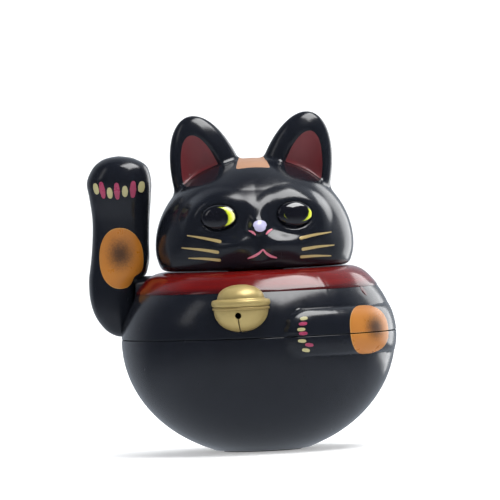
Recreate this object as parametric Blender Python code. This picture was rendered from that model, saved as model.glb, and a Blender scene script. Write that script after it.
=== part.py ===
"""Beckoning cat figurine: a moulded two-shell body, a turning head and a swinging raised arm.

Frame: metres, +Z up, origin at the centre of the base on the body's axis. The cat faces -Y,
so its raised right arm is at -X. The model stands at rest, with the head turned a little to +X.
"""

from math import asin, atan2, cos, exp, pi, radians, sin, sqrt

import bmesh
import bpy
from mathutils import Matrix, Vector

MM = 0.001
GAP = 0.3 * MM
WALL = 1.8 * MM

# Body: an ellipsoid with a flat foot and a flat shoulder, parted along a level seam
BODY_RADIUS = 26.0 * MM
BODY_EQUATOR = 21.3 * MM
BODY_DROP = 22.3 * MM
BODY_RISE = 19.5 * MM
SEAM_HEIGHT = 22.0 * MM
SHOULDER_TOP = 34.3 * MM
SHOULDER_ROUND = 1.0 * MM
FOOT_HEIGHT = 0.25 * MM
PAD_RADIUS = 7.7 * MM
PAD_THICKNESS = 1.0 * MM
BODY_STEPS = 42

# Left arm, moulded on the body as a low relief
RELIEF_HEIGHT = 1.8 * MM
RELIEF_CENTRE = 22.7 * MM
RELIEF_HALF_SPAN = 4.6 * MM
RELIEF_START = radians(16)
RELIEF_FADE = radians(58)
RELIEF_END = radians(104)

# Screw posts that close the body from behind, and the weight in its foot
POST_CIRCLE = 14.0 * MM
POST_ANGLES = (radians(30), radians(90), radians(150))
POST_RADIUS = 2.6 * MM
BOSS_RADIUS = 3.1 * MM
BOSS_TOP = 12.0 * MM
WELL_RADIUS = 2.3 * MM
WELL_TOP = 8.0 * MM
SCREW_HEAD_RADIUS = 1.9 * MM
SCREW_HEAD_HEIGHT = 1.3 * MM
SCREW_RADIUS = 0.9 * MM
SCREW_HOLE = SCREW_RADIUS + GAP
WEIGHT_RADIUS = 10.0 * MM
WEIGHT_HEIGHT = 4.6 * MM
WEIGHT_BOSS_RADIUS = 2.4 * MM

# Neck: the head's floor turns round this boss, under a washer
NECK_RADIUS = 5.0 * MM
NECK_TOP = 36.4 * MM
NECK_FOOT = 30.0 * MM
NECK_WASHER_RADIUS = 8.5 * MM
NECK_WASHER_HEIGHT = 1.2 * MM

# Head: an ellipsoid with a flat floor, parted along its ears
HEAD_TURN = radians(9.5)
HEAD_HALF_WIDTH = 18.8 * MM
HEAD_HALF_DEPTH = 16.6 * MM
HEAD_EQUATOR = 39.0 * MM
HEAD_RISE = 16.5 * MM
HEAD_DROP = 10.2 * MM
HEAD_FLOOR = SHOULDER_TOP + GAP
HEAD_EDGE = 1.3 * MM
HEAD_STEPS = 36
EYE_SPREAD = 7.3 * MM
EYE_HEIGHT = 44.6 * MM
EYE_SURFACE = 14.4 * MM
EYE_HALF_WIDTH = 3.4 * MM
EYE_FLATTEN = 0.8
EYE_DOME = 1.5 * MM
EYE_DEPTH = 2.6 * MM
EYE_OUTWARD = radians(13)
EYE_UPWARD = radians(7)

# Ear: sections from the base to the tip as (height, middle from the head's axis, half width, half depth)
EAR_SECTIONS = (
    (46.0 * MM, 8.6 * MM, 4.0 * MM, 3.0 * MM),
    (50.0 * MM, 9.0 * MM, 5.6 * MM, 3.6 * MM),
    (55.5 * MM, 8.8 * MM, 6.5 * MM, 3.5 * MM),
    (59.0 * MM, 9.6 * MM, 5.4 * MM, 2.7 * MM),
    (62.0 * MM, 10.3 * MM, 3.7 * MM, 1.8 * MM),
    (63.4 * MM, 10.6 * MM, 2.2 * MM, 1.1 * MM),
    (63.9 * MM, 10.7 * MM, 0.8 * MM, 0.5 * MM),
)
EAR_STEPS = 16
EAR_CUP_WALL = 1.6 * MM

# Raised right arm: sections as (height, outer edge, inner edge, half thickness, forward lean)
SHOULDER_AXIS_HEIGHT = 29.5 * MM
SHOULDER_FACE = 22.6 * MM
SHOULDER_POCKET = 7.3 * MM
SHOULDER_BOSS = 4.4 * MM
SHOULDER_BACKING = 8.8 * MM
SHOULDER_BACKING_FACE = 20.9 * MM
SHOULDER_BOSS_END = 17.5 * MM
ARM_SECTIONS = (
    (22.6 * MM, 26.8 * MM, 25.4 * MM, 0.8 * MM, 0.0),
    (23.2 * MM, 28.0 * MM, 24.4 * MM, 2.2 * MM, 0.0),
    (24.3 * MM, 29.2 * MM, 23.4 * MM, 3.3 * MM, 0.0),
    (26.6 * MM, 30.7 * MM, 22.9 * MM, 4.3 * MM, 0.0),
    (30.0 * MM, 31.6 * MM, 22.9 * MM, 4.7 * MM, 0.0),
    (32.4 * MM, 31.7 * MM, 22.6 * MM, 4.7 * MM, 0.0),
    (34.2 * MM, 31.6 * MM, 21.1 * MM, 4.6 * MM, 0.0),
    (36.0 * MM, 31.3 * MM, 20.5 * MM, 4.5 * MM, 0.0),
    (41.0 * MM, 30.7 * MM, 20.2 * MM, 4.2 * MM, 0.0),
    (45.0 * MM, 30.5 * MM, 19.9 * MM, 4.3 * MM, 0.3 * MM),
    (49.0 * MM, 30.8 * MM, 19.4 * MM, 4.8 * MM, 0.9 * MM),
    (52.2 * MM, 31.1 * MM, 19.2 * MM, 5.0 * MM, 1.2 * MM),
    (54.6 * MM, 30.0 * MM, 19.8 * MM, 4.3 * MM, 1.2 * MM),
    (56.2 * MM, 28.2 * MM, 22.0 * MM, 3.0 * MM, 1.0 * MM),
    (56.8 * MM, 26.2 * MM, 24.4 * MM, 1.2 * MM, 0.8 * MM),
)
ARM_STEPS = 18
ARM_WALL = 1.5 * MM
ARM_CAVITY_FOOT = 37.0 * MM
ARM_CAVITY_TOP = 54.6 * MM
AXLE_RADIUS = 1.5 * MM
AXLE_OUTER_END = 28.5 * MM
AXLE_INNER_END = 17.2 * MM
ARM_WASHER_RADIUS = 2.6 * MM
ARM_WASHER_THICKNESS = 0.8 * MM
ARM_SCREW_RADIUS = 0.7 * MM
ARM_SCREW_LENGTH = 4.2 * MM

# Bell: turned about an upright axis at the front of the body
BELL_AXIS = 24.8 * MM
BELL_FOOT = 23.2 * MM
BELL_FLANGE_LOW = 27.6 * MM
BELL_FLANGE_HIGH = 29.4 * MM
BELL_TOP = 32.1 * MM
BELL_RADIUS = 5.5 * MM
BELL_BOWL_RADIUS = 5.2 * MM
BELL_CAP_RADIUS = 4.5 * MM
BELL_WALL = 0.8 * MM
BELL_HOLE_RADIUS = 0.6 * MM
BELL_HOLE_HEIGHT = 26.4 * MM
BELL_SLOT = 0.3 * MM
PEG_HEIGHT = 29.6 * MM
PEG_RADIUS = 1.0 * MM
PEG_END = 17.8 * MM
CLIP_RADIUS = 1.9 * MM
CLIP_START = 19.2 * MM
CLIP_THICKNESS = 0.9 * MM


def clear_scene():
    for old in list(bpy.data.objects):
        bpy.data.objects.remove(old, do_unlink=True)


def material(name, colour, roughness, metallic=0.0):
    made = bpy.data.materials.new(name)
    made.use_nodes = True
    shader = made.node_tree.nodes["Principled BSDF"]
    shader.inputs["Base Color"].default_value = (*colour, 1.0)
    shader.inputs["Roughness"].default_value = roughness
    shader.inputs["Metallic"].default_value = metallic
    return made


def gloss_black():
    return material("gloss_black_plastic", (0.012, 0.013, 0.017), 0.22)


def gold_plate():
    return material("gold_plate", (0.80, 0.62, 0.28), 0.30, 1.0)


def eye_enamel():
    return material("eye_enamel", (0.45, 0.55, 0.06), 0.12)


def bare_steel():
    return material("bare_steel", (0.55, 0.56, 0.58), 0.35, 1.0)


def cast_iron():
    return material("cast_iron", (0.10, 0.10, 0.11), 0.70, 1.0)


def natural_plastic():
    return material("natural_plastic", (0.70, 0.70, 0.66), 0.45)


def foot_rubber():
    return material("foot_rubber", (0.03, 0.03, 0.03), 0.85)


def as_object(name, bm, finish=None, parent=None):
    """Stores the mesh as an object with smooth round sides; without a finish it is a cutter."""
    bmesh.ops.recalc_face_normals(bm, faces=bm.faces)
    if bm.calc_volume(signed=True) < 0:
        bmesh.ops.reverse_faces(bm, faces=bm.faces)
    mesh = bpy.data.meshes.new(name)
    bm.to_mesh(mesh)
    bm.free()
    mesh.shade_smooth()
    mesh.set_sharp_from_angle(angle=radians(35))
    obj = bpy.data.objects.new(name, mesh)
    bpy.context.scene.collection.objects.link(obj)
    if finish:
        mesh.materials.append(finish)
    else:
        obj.hide_render = True
        obj.display_type = "WIRE"
    if parent:
        obj.parent = parent
        obj.matrix_parent_inverse = parent.matrix_basis.inverted()
    return obj


def join_shape(obj, tool, operation):
    boolean = obj.modifiers.new(tool.name, "BOOLEAN")
    boolean.operation = operation
    boolean.object = tool
    boolean.solver = "EXACT"


def cut(obj, *tools):
    for tool in tools:
        join_shape(obj, tool, "DIFFERENCE")


def add(obj, *tools):
    for tool in tools:
        join_shape(obj, tool, "UNION")


def turned(profile, steps, closed=False):
    """Spins a profile of (radius, height) about the Z axis; an open profile starts and ends on it."""
    bm = bmesh.new()
    points = [bm.verts.new((radius, 0, height)) for radius, height in profile]
    pairs = list(zip(points, points[1:]))
    if closed:
        pairs.append((points[-1], points[0]))
    edges = [bm.edges.new(pair) for pair in pairs]
    bmesh.ops.spin(
        bm, geom=points + edges, cent=(0, 0, 0), axis=(0, 0, 1), angle=2 * pi, steps=steps, use_merge=True
    )
    bmesh.ops.remove_doubles(bm, verts=bm.verts, dist=0.001 * MM)
    return bm


def rod_mesh(radius, start, end, steps=16):
    """A plain cylinder between two points."""
    start, end = Vector(start), Vector(end)
    along = end - start
    bm = bmesh.new()
    turn = along.to_track_quat("Z", "Y").to_matrix().to_4x4()
    place = Matrix.Translation((start + end) / 2) @ turn
    bmesh.ops.create_cone(
        bm, cap_ends=True, segments=steps, radius1=radius, radius2=radius, depth=along.length, matrix=place
    )
    return bm


def rod(name, radius, start, end, finish=None, parent=None, steps=16):
    return as_object(name, rod_mesh(radius, start, end, steps), finish, parent)


def box(name, low, high, parent=None):
    bm = bmesh.new()
    low, high = Vector(low), Vector(high)
    size = high - low
    place = Matrix.Translation((low + high) / 2) @ Matrix.Diagonal((*size, 1.0))
    bmesh.ops.create_cube(bm, size=1.0, matrix=place)
    return as_object(name, bm, None, parent)


def lofted(sections, steps):
    """Skins level rings given as (height, middle x, middle y, half width, half depth), and caps both ends."""
    bm = bmesh.new()
    rings = []
    for height, middle_x, middle_y, half_x, half_y in sections:
        ring = []
        for step in range(steps):
            angle = 2 * pi * step / steps
            place = (middle_x + half_x * cos(angle), middle_y + half_y * sin(angle), height)
            ring.append(bm.verts.new(place))
        rings.append(ring)
    for lower, upper in zip(rings, rings[1:]):
        for step in range(steps):
            after = (step + 1) % steps
            bm.faces.new((lower[step], lower[after], upper[after], upper[step]))
    bm.faces.new(list(reversed(rings[0])))
    bm.faces.new(rings[-1])
    return bm


def ellipse_radius(height, equator, half_width, drop, rise):
    reach = drop if height < equator else rise
    return half_width * sqrt(max(0.0, 1 - ((height - equator) / reach) ** 2))


def ellipse_arc(equator, half_width, reach, low, high, count):
    """Points (radius, height) along an ellipse from one height to another, evenly spaced in angle."""
    first = asin((low - equator) / reach)
    last = asin((high - equator) / reach)
    arc = []
    for step in range(count + 1):
        angle = first + (last - first) * step / count
        arc.append((half_width * cos(angle), equator + reach * sin(angle)))
    return arc


def body_radius(height):
    return ellipse_radius(height, BODY_EQUATOR, BODY_RADIUS, BODY_DROP, BODY_RISE)


def relief(angle, height):
    """How far the moulded arm stands out of the body at this angle from the front and this height."""
    across = (height - RELIEF_CENTRE) / RELIEF_HALF_SPAN
    if abs(across) >= 1 or not RELIEF_START < angle < RELIEF_END:
        return 0.0
    along = min(1.0, (angle - RELIEF_START) / radians(9))
    paw_end = sqrt(along * (2 - along))
    fade = 1.0
    if angle > RELIEF_FADE:
        fade = (1 + cos(pi * (angle - RELIEF_FADE) / (RELIEF_END - RELIEF_FADE))) / 2
    return RELIEF_HEIGHT * (1 - across ** 4) * paw_end * fade


def raise_moulded_arm(bm):
    """Moves the outer skin out along the moulded arm, and leaves the inside round."""
    for vert in bm.verts:
        radius = vert.co.xy.length
        if radius < body_radius(vert.co.z) - 0.01 * MM:
            continue
        angle = atan2(vert.co.x, -vert.co.y)
        grown = (radius + relief(angle, vert.co.z)) / radius
        vert.co.x *= grown
        vert.co.y *= grown


def post_places():
    return [(POST_CIRCLE * cos(angle), POST_CIRCLE * sin(angle)) for angle in POST_ANGLES]


def upper_dome_mesh():
    """Solid dome from the seam to the shoulder, with the neck boss on top."""
    seam = SEAM_HEIGHT + GAP / 2
    edge = SHOULDER_TOP - SHOULDER_ROUND
    outer = ellipse_arc(BODY_EQUATOR, BODY_RADIUS, BODY_RISE, seam, edge, 7)
    shoulder = outer[-1][0] - SHOULDER_ROUND
    top = [
        (shoulder + 0.45 * SHOULDER_ROUND, SHOULDER_TOP - 0.3 * SHOULDER_ROUND),
        (shoulder - 0.5 * SHOULDER_ROUND, SHOULDER_TOP),
        (NECK_RADIUS, SHOULDER_TOP),
        (NECK_RADIUS, NECK_TOP),
        (0, NECK_TOP),
    ]
    return turned([(0, seam)] + outer + top, BODY_STEPS)


def upper_cavity_mesh():
    inner_top = SHOULDER_TOP - WALL
    mouth = SEAM_HEIGHT - 2 * MM
    inner = ellipse_arc(BODY_EQUATOR, BODY_RADIUS - WALL, BODY_RISE - WALL, BODY_EQUATOR, inner_top, 5)
    return turned([(0, mouth), (BODY_RADIUS - WALL, mouth)] + inner + [(0, inner_top)], BODY_STEPS)


def lower_shell_mesh():
    """Bowl from the foot to the seam, with a recess for the pad and a tongue behind the seam."""
    seam = SEAM_HEIGHT - GAP / 2
    recess_top = PAD_THICKNESS + GAP
    floor = recess_top + WALL
    inner_radius = BODY_RADIUS - WALL
    inner_drop = BODY_DROP - WALL
    tongue_outer = inner_radius - GAP
    tongue_inner = tongue_outer - 1.1 * MM
    tongue_top = SEAM_HEIGHT + 1.5 * MM
    tongue_foot = SEAM_HEIGHT - 3.0 * MM
    recess = [(0, recess_top), (PAD_RADIUS + GAP, recess_top), (PAD_RADIUS + GAP, FOOT_HEIGHT)]
    bowl = ellipse_arc(BODY_EQUATOR, BODY_RADIUS, BODY_DROP, FOOT_HEIGHT, BODY_EQUATOR, 10)
    rim = [(body_radius(seam), seam), (tongue_outer, seam), (tongue_outer, tongue_top)]
    tongue = [(tongue_inner, tongue_top), (tongue_inner, tongue_foot)]
    inner = ellipse_arc(BODY_EQUATOR, inner_radius, inner_drop, floor, tongue_foot - 1.6 * MM, 5)
    return turned(recess + bowl + rim + tongue + list(reversed(inner)) + [(0, floor)], BODY_STEPS)


def shoulder_rod(name, radius, outer, inner, finish=None, parent=None, steps=24):
    """A cylinder on the arm's axis, between two distances out from the body's axis."""
    start = (-outer, 0, SHOULDER_AXIS_HEIGHT)
    end = (-inner, 0, SHOULDER_AXIS_HEIGHT)
    return rod(name, radius, start, end, finish, parent, steps)


def build_upper_shell(finish):
    bm = upper_dome_mesh()
    raise_moulded_arm(bm)
    shell = as_object("body_upper_shell", bm, finish)
    cavity = as_object("body_cavity", upper_cavity_mesh())
    far_out = SHOULDER_FACE + 8 * MM
    cut(cavity, shoulder_rod("shoulder_backing", SHOULDER_BACKING, far_out, SHOULDER_BACKING_FACE))
    cut(shell, cavity, shoulder_rod("shoulder_pocket", SHOULDER_POCKET, far_out, SHOULDER_FACE))
    add(shell, shoulder_rod("shoulder_boss", SHOULDER_BOSS, SHOULDER_FACE, SHOULDER_BOSS_END))
    cut(shell, shoulder_rod("shoulder_bore", AXLE_RADIUS + GAP, SHOULDER_FACE + MM, SHOULDER_BOSS_END - MM))
    add(shell, rod("neck_foot", NECK_RADIUS, (0, 0, NECK_FOOT), (0, 0, SHOULDER_TOP - WALL / 2)))
    cut(shell, rod("neck_pilot", SCREW_HOLE, (0, 0, NECK_FOOT - MM), (0, 0, NECK_TOP + MM)))
    for number, (x, y) in enumerate(post_places(), 1):
        post_foot = BOSS_TOP + GAP
        plate_middle = SHOULDER_TOP - WALL / 2
        add(shell, rod(f"closing_post_{number}", POST_RADIUS, (x, y, post_foot), (x, y, plate_middle)))
        cut(shell, rod(f"post_pilot_{number}", SCREW_HOLE, (x, y, post_foot - MM), (x, y, post_foot + 7 * MM)))
    hole_start = (0, -BODY_RADIUS, PEG_HEIGHT)
    hole_end = (0, -PEG_END, PEG_HEIGHT)
    cut(shell, rod("bell_peg_hole", PEG_RADIUS + GAP, hole_start, hole_end))
    return shell


def build_lower_shell(finish):
    bm = lower_shell_mesh()
    raise_moulded_arm(bm)
    shell = as_object("body_lower_shell", bm, finish)
    floor = PAD_THICKNESS + GAP + WALL
    for number, (x, y) in enumerate(post_places(), 1):
        add(shell, rod(f"screw_boss_{number}", BOSS_RADIUS, (x, y, 4.5 * MM), (x, y, BOSS_TOP)))
        cut(
            shell,
            rod(f"screw_well_{number}", WELL_RADIUS, (x, y, -MM), (x, y, WELL_TOP)),
            rod(f"screw_way_{number}", SCREW_HOLE, (x, y, WELL_TOP - MM), (x, y, BOSS_TOP + MM)),
        )
    room = SHOULDER_BACKING + GAP
    cut(shell, shoulder_rod("backing_room", room, SHOULDER_FACE + 1.4 * MM, SHOULDER_BACKING_FACE - GAP))
    boss_top = floor + WEIGHT_HEIGHT - 0.6 * MM
    add(shell, rod("weight_boss", WEIGHT_BOSS_RADIUS, (0, 0, floor - MM), (0, 0, boss_top)))
    cut(shell, rod("weight_pilot", SCREW_HOLE, (0, 0, floor + 0.4 * MM), (0, 0, boss_top + MM)))
    return shell


def screw_mesh(head_radius, head_height, shank_radius, length):
    """A pan-head screw with its seat at the origin, its head up and its shank down, with a cross slot."""
    edge = 0.35 * head_height
    profile = [
        (0, -length),
        (0.45 * shank_radius, -length),
        (shank_radius, -length + 1.4 * shank_radius),
        (shank_radius, 0),
        (head_radius, 0),
        (head_radius, head_height - edge),
        (head_radius - edge, head_height),
        (0, head_height),
    ]
    return turned(profile, 14)


def build_screw(name, seat, direction, sizes, finish, parent=None):
    """Stands a screw with its seat at a point and its head towards a direction."""
    turn = Vector(direction).to_track_quat("Z", "Y").to_matrix().to_4x4()
    bm = screw_mesh(*sizes)
    bm.transform(Matrix.Translation(Vector(seat)) @ turn)
    screw = as_object(name, bm, finish, parent)
    slot_half = 0.32 * MM
    head_radius, head_height = sizes[0], sizes[1]
    for number, (half_x, half_y) in enumerate(((0.6 * head_radius, slot_half), (slot_half, 0.6 * head_radius)), 1):
        slot = bmesh.new()
        low = Vector((-half_x, -half_y, 0.45 * head_height))
        high = Vector((half_x, half_y, 1.5 * head_height))
        size = Matrix.Diagonal((*(high - low), 1.0))
        bmesh.ops.create_cube(slot, size=1.0, matrix=Matrix.Translation((low + high) / 2) @ size)
        slot.transform(Matrix.Translation(Vector(seat)) @ turn)
        cut(screw, as_object(f"{name}_slot_{number}", slot, None, parent))
    return screw


def build_body_hardware(steel, iron, rubber):
    floor = PAD_THICKNESS + GAP + WALL
    for number, (x, y) in enumerate(post_places(), 1):
        seat = (x, y, WELL_TOP - GAP)
        sizes = (SCREW_HEAD_RADIUS, SCREW_HEAD_HEIGHT, SCREW_RADIUS, 9.5 * MM)
        build_screw(f"shell_screw_{number}", seat, (0, 0, -1), sizes, steel)

    foot = floor + GAP
    top = foot + WEIGHT_HEIGHT
    hole = WEIGHT_BOSS_RADIUS + GAP
    profile = [
        (hole, foot),
        (WEIGHT_RADIUS - MM, foot),
        (WEIGHT_RADIUS, foot + MM),
        (WEIGHT_RADIUS, top - 0.5 * MM),
        (WEIGHT_RADIUS - 0.5 * MM, top),
        (hole, top),
    ]
    as_object("ballast_weight", turned(profile, 28, closed=True), iron)
    build_screw("ballast_screw", (0, 0, top + GAP), (0, 0, 1), (3.6 * MM, 1.4 * MM, SCREW_RADIUS, 4.2 * MM), steel)

    pad = [
        (0, 0),
        (PAD_RADIUS - 0.3 * MM, 0),
        (PAD_RADIUS, 0.3 * MM),
        (PAD_RADIUS, PAD_THICKNESS),
        (0, PAD_THICKNESS),
    ]
    as_object("base_pad", turned(pad, 32), rubber)


def build_neck_hardware(plastic, steel):
    foot = NECK_TOP + GAP
    top = foot + NECK_WASHER_HEIGHT
    edge = 0.3 * MM
    washer = [
        (SCREW_HOLE, foot),
        (NECK_WASHER_RADIUS - edge, foot),
        (NECK_WASHER_RADIUS, foot + edge),
        (NECK_WASHER_RADIUS, top - edge),
        (NECK_WASHER_RADIUS - edge, top),
        (SCREW_HOLE, top),
    ]
    as_object("neck_washer", turned(washer, 24, closed=True), plastic)
    build_screw("neck_screw", (0, 0, top + GAP), (0, 0, 1), (2.8 * MM, 1.5 * MM, SCREW_RADIUS, 7.6 * MM), steel)


def head_outline(half_width, rise, drop, floor, edge, count):
    """Profile of the head from the middle of its floor to its crown."""
    first = floor + edge
    side = ellipse_arc(HEAD_EQUATOR, half_width, drop, first, HEAD_EQUATOR, 3)
    top = ellipse_arc(HEAD_EQUATOR, half_width, rise, HEAD_EQUATOR, HEAD_EQUATOR + rise, count)
    corner = [(side[0][0] - 0.35 * edge, floor + 0.45 * edge), (side[0][0] - 1.1 * edge, floor)]
    return [(0, floor), corner[1], corner[0]] + side + top[1:-1] + [(0, HEAD_EQUATOR + rise)]


def bump(x, z, at_x, at_z, size):
    return exp(-((x - at_x) ** 2 + (z - at_z) ** 2) / size ** 2)


def face_relief(x, z):
    """How far the muzzle, nose and brows stand forward of the plain head."""
    x = abs(x)
    muzzle = 1.3 * MM * bump(x, z, 3.1 * MM, 38.4 * MM, 3.6 * MM)
    nose = 0.9 * MM * bump(x, z, 0, 42.8 * MM, 2.6 * MM)
    brow = 0.9 * MM * bump(x, z, 6.5 * MM, 49.0 * MM, 3.2 * MM)
    return muzzle + nose + brow


def head_mesh(half_width, half_depth, rise, drop, floor, edge, count, steps):
    bm = turned(head_outline(half_width, rise, drop, floor, edge, count), steps)
    for vert in bm.verts:
        vert.co.y *= half_depth / half_width
    return bm


def ear_mesh(side):
    rows = []
    for height, middle, half_width, half_depth in EAR_SECTIONS:
        rows.append((height, side * middle, 0.0, half_width, half_depth))
    return lofted(rows, EAR_STEPS)


def ear_cup_mesh(side):
    """The hollow in the front of an ear: the ear's own form, drawn in by its wall and moved forward."""
    rows = []
    for height, middle, half_width, half_depth in EAR_SECTIONS[2:6]:
        width = half_width - EAR_CUP_WALL
        drop = 0.0 if height > EAR_SECTIONS[2][0] else -2.0 * MM
        rows.append((height + drop, side * (middle + 0.7 * MM), -half_depth - 0.7 * MM, width, 0.8 * half_depth))
    return lofted(rows, EAR_STEPS)


def eye_mesh(side, grow):
    """A domed oval button that looks out of the face, a little outward and up."""
    half_width = EYE_HALF_WIDTH + grow
    back = -EYE_DEPTH - 4 * grow
    profile = [(0, back), (half_width, back), (half_width, 0.0)]
    for step in range(1, 4):
        angle = pi / 2 * step / 4
        profile.append((half_width * cos(angle), (EYE_DOME + grow) * sin(angle)))
    profile.append((0, EYE_DOME + grow))
    bm = turned(profile, 24)
    bm.transform(Matrix.Diagonal((1, EYE_FLATTEN, 1, 1)))
    forward = Matrix.Rotation(radians(90), 4, "X")
    look = Matrix.Rotation(side * EYE_OUTWARD, 4, "Z") @ Matrix.Rotation(-EYE_UPWARD, 4, "X")
    bm.transform(Matrix.Translation((side * EYE_SPREAD, -EYE_SURFACE, EYE_HEIGHT)) @ look @ forward)
    return bm


def head_pivot():
    pivot = bpy.data.objects.new("head_pivot", None)
    pivot.location = (0, 0, HEAD_FLOOR)
    bpy.context.scene.collection.objects.link(pivot)
    return pivot


def build_head_half(name, front, pivot, finish):
    """One half of the head: the whole hollow form, with the other half and the parting gap cut away."""
    bm = head_mesh(HEAD_HALF_WIDTH, HEAD_HALF_DEPTH, HEAD_RISE, HEAD_DROP, HEAD_FLOOR, HEAD_EDGE, 10, HEAD_STEPS)
    for vert in bm.verts:
        if vert.co.y < 0 and vert.co.z > HEAD_FLOOR + HEAD_EDGE:
            facing = min(1.0, -vert.co.y / (0.5 * HEAD_HALF_DEPTH))
            vert.co.y -= facing * face_relief(vert.co.x, vert.co.z)
    half = as_object(name, bm, finish, pivot)
    for side, ear in ((-1, "right"), (1, "left")):
        add(half, as_object(f"{name}_{ear}_ear", ear_mesh(side), None, pivot))
    inner_width = HEAD_HALF_WIDTH - WALL
    inner_depth = HEAD_HALF_DEPTH - WALL
    inner_floor = HEAD_FLOOR + WALL - 0.2 * MM
    hollow = head_mesh(
        inner_width, inner_depth, HEAD_RISE - WALL, HEAD_DROP - WALL, inner_floor, 0.8 * MM, 7, 32
    )
    reach = 40 * MM
    middle = GAP / 2
    low_y = -middle if front else -reach
    high_y = reach if front else middle
    cut(
        half,
        as_object(f"{name}_hollow", hollow, None, pivot),
        rod(f"{name}_neck_hole", NECK_RADIUS + GAP, (0, 0, 30 * MM), (0, 0, 38 * MM), None, pivot, 32),
        box(f"{name}_other_half", (-reach, low_y, 30 * MM), (reach, high_y, 70 * MM), pivot),
    )
    return half


def build_head(black, enamel):
    pivot = head_pivot()
    front = build_head_half("head_front_shell", True, pivot, black)
    build_head_half("head_back_shell", False, pivot, black)
    for side, eye in ((-1, "right"), (1, "left")):
        cut(front, as_object(f"eye_socket_{eye}", eye_mesh(side, GAP), None, pivot))
        cut(front, as_object(f"ear_cup_{eye}", ear_cup_mesh(side), None, pivot))
        as_object(f"eye_{eye}", eye_mesh(side, 0.0), enamel, pivot)
    pivot.rotation_euler = (0, 0, HEAD_TURN)


def arm_mesh():
    rows = []
    for height, outer, inner, half_depth, lean in ARM_SECTIONS:
        rows.append((height, -(outer + inner) / 2, -lean, (outer - inner) / 2, half_depth))
    return lofted(rows, ARM_STEPS)


def arm_cavity_mesh():
    rows = []
    for height, outer, inner, half_depth, lean in ARM_SECTIONS:
        if ARM_CAVITY_FOOT < height <= ARM_CAVITY_TOP:
            half_width = (outer - inner) / 2 - ARM_WALL
            shrink = ARM_WALL
            if height == ARM_CAVITY_TOP:
                shrink = 2 * ARM_WALL
                half_width -= ARM_WALL
            rows.append((height, -(outer + inner) / 2, -lean, half_width, half_depth - shrink))
    first = rows[0]
    rows.insert(0, (ARM_CAVITY_FOOT, *first[1:]))
    return lofted(rows, ARM_STEPS)


def shoulder_pivot():
    pivot = bpy.data.objects.new("shoulder_pivot", None)
    pivot.location = (0, 0, SHOULDER_AXIS_HEIGHT)
    bpy.context.scene.collection.objects.link(pivot)
    return pivot


def build_arm_half(name, front, pivot, finish):
    half = as_object(name, arm_mesh(), finish, pivot)
    reach = 40 * MM
    middle = GAP / 2
    low_y = -middle if front else -reach
    high_y = reach if front else middle
    ring = SHOULDER_BOSS + GAP
    cut(
        half,
        as_object(f"{name}_cavity", arm_cavity_mesh(), None, pivot),
        shoulder_rod(f"{name}_boss_room", ring, SHOULDER_FACE + GAP, SHOULDER_BOSS_END, None, pivot),
        shoulder_rod(f"{name}_axle_bore", AXLE_RADIUS + GAP, AXLE_OUTER_END + GAP, SHOULDER_FACE, None, pivot),
        box(f"{name}_other_half", (-reach, low_y, 15 * MM), (0, high_y, 70 * MM), pivot),
    )
    return half


def build_arm(black, steel, plastic):
    pivot = shoulder_pivot()
    build_arm_half("arm_front_shell", True, pivot, black)
    build_arm_half("arm_back_shell", False, pivot, black)

    axle = shoulder_rod("shoulder_axle", AXLE_RADIUS, AXLE_OUTER_END, AXLE_INNER_END, steel, pivot)
    pilot = ARM_SCREW_RADIUS + GAP
    cut(axle, shoulder_rod("axle_pilot", pilot, AXLE_INNER_END + ARM_SCREW_LENGTH, AXLE_INNER_END - MM, None, pivot, 14))

    washer_outer = AXLE_INNER_END - GAP
    washer_inner = washer_outer - ARM_WASHER_THICKNESS
    washer = shoulder_rod("shoulder_washer", ARM_WASHER_RADIUS, washer_outer, washer_inner, plastic, pivot)
    cut(washer, shoulder_rod("washer_hole", pilot, washer_outer + MM, washer_inner - MM, None, pivot, 14))

    seat = (-(washer_inner - GAP), 0, SHOULDER_AXIS_HEIGHT)
    sizes = (2.1 * MM, 1.2 * MM, ARM_SCREW_RADIUS, ARM_SCREW_LENGTH)
    build_screw("shoulder_screw", seat, (1, 0, 0), sizes, steel, pivot)


def bell_profile():
    """The bell from the middle of its bowl up over the flange to the top of its cap."""
    profile = [(0, BELL_FOOT)]
    bowl = BELL_FLANGE_LOW - BELL_FOOT
    for step in range(1, 6):
        angle = pi / 2 * step / 5
        profile.append((BELL_BOWL_RADIUS * sin(angle), BELL_FLANGE_LOW - bowl * cos(angle)))
    flange_middle = (BELL_FLANGE_LOW + BELL_FLANGE_HIGH) / 2
    rib = 0.55 * MM
    profile += [
        (BELL_RADIUS, BELL_FLANGE_LOW + 0.15 * MM),
        (BELL_RADIUS, BELL_FLANGE_LOW + rib),
        (BELL_RADIUS - 0.4 * MM, flange_middle),
        (BELL_RADIUS - 0.1 * MM, BELL_FLANGE_HIGH - rib),
        (BELL_RADIUS - 0.3 * MM, BELL_FLANGE_HIGH),
    ]
    cap = BELL_TOP - BELL_FLANGE_HIGH
    for step in range(0, 5):
        angle = pi / 2 * step / 5
        profile.append((BELL_CAP_RADIUS * cos(angle), BELL_FLANGE_HIGH + cap * sin(angle)))
    profile.append((0, BELL_TOP))
    return profile


def bell_hollow_profile():
    inner = BELL_BOWL_RADIUS - BELL_WALL
    depth = BELL_FLANGE_LOW - BELL_FOOT - BELL_WALL
    profile = [(0, BELL_FOOT + BELL_WALL)]
    for step in range(1, 6):
        angle = pi / 2 * step / 5
        profile.append((inner * sin(angle), BELL_FLANGE_LOW - depth * cos(angle)))
    profile.append((0, BELL_FLANGE_LOW))
    return profile


def at_bell(bm):
    bm.transform(Matrix.Translation((0, -BELL_AXIS, 0)))
    return bm


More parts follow.
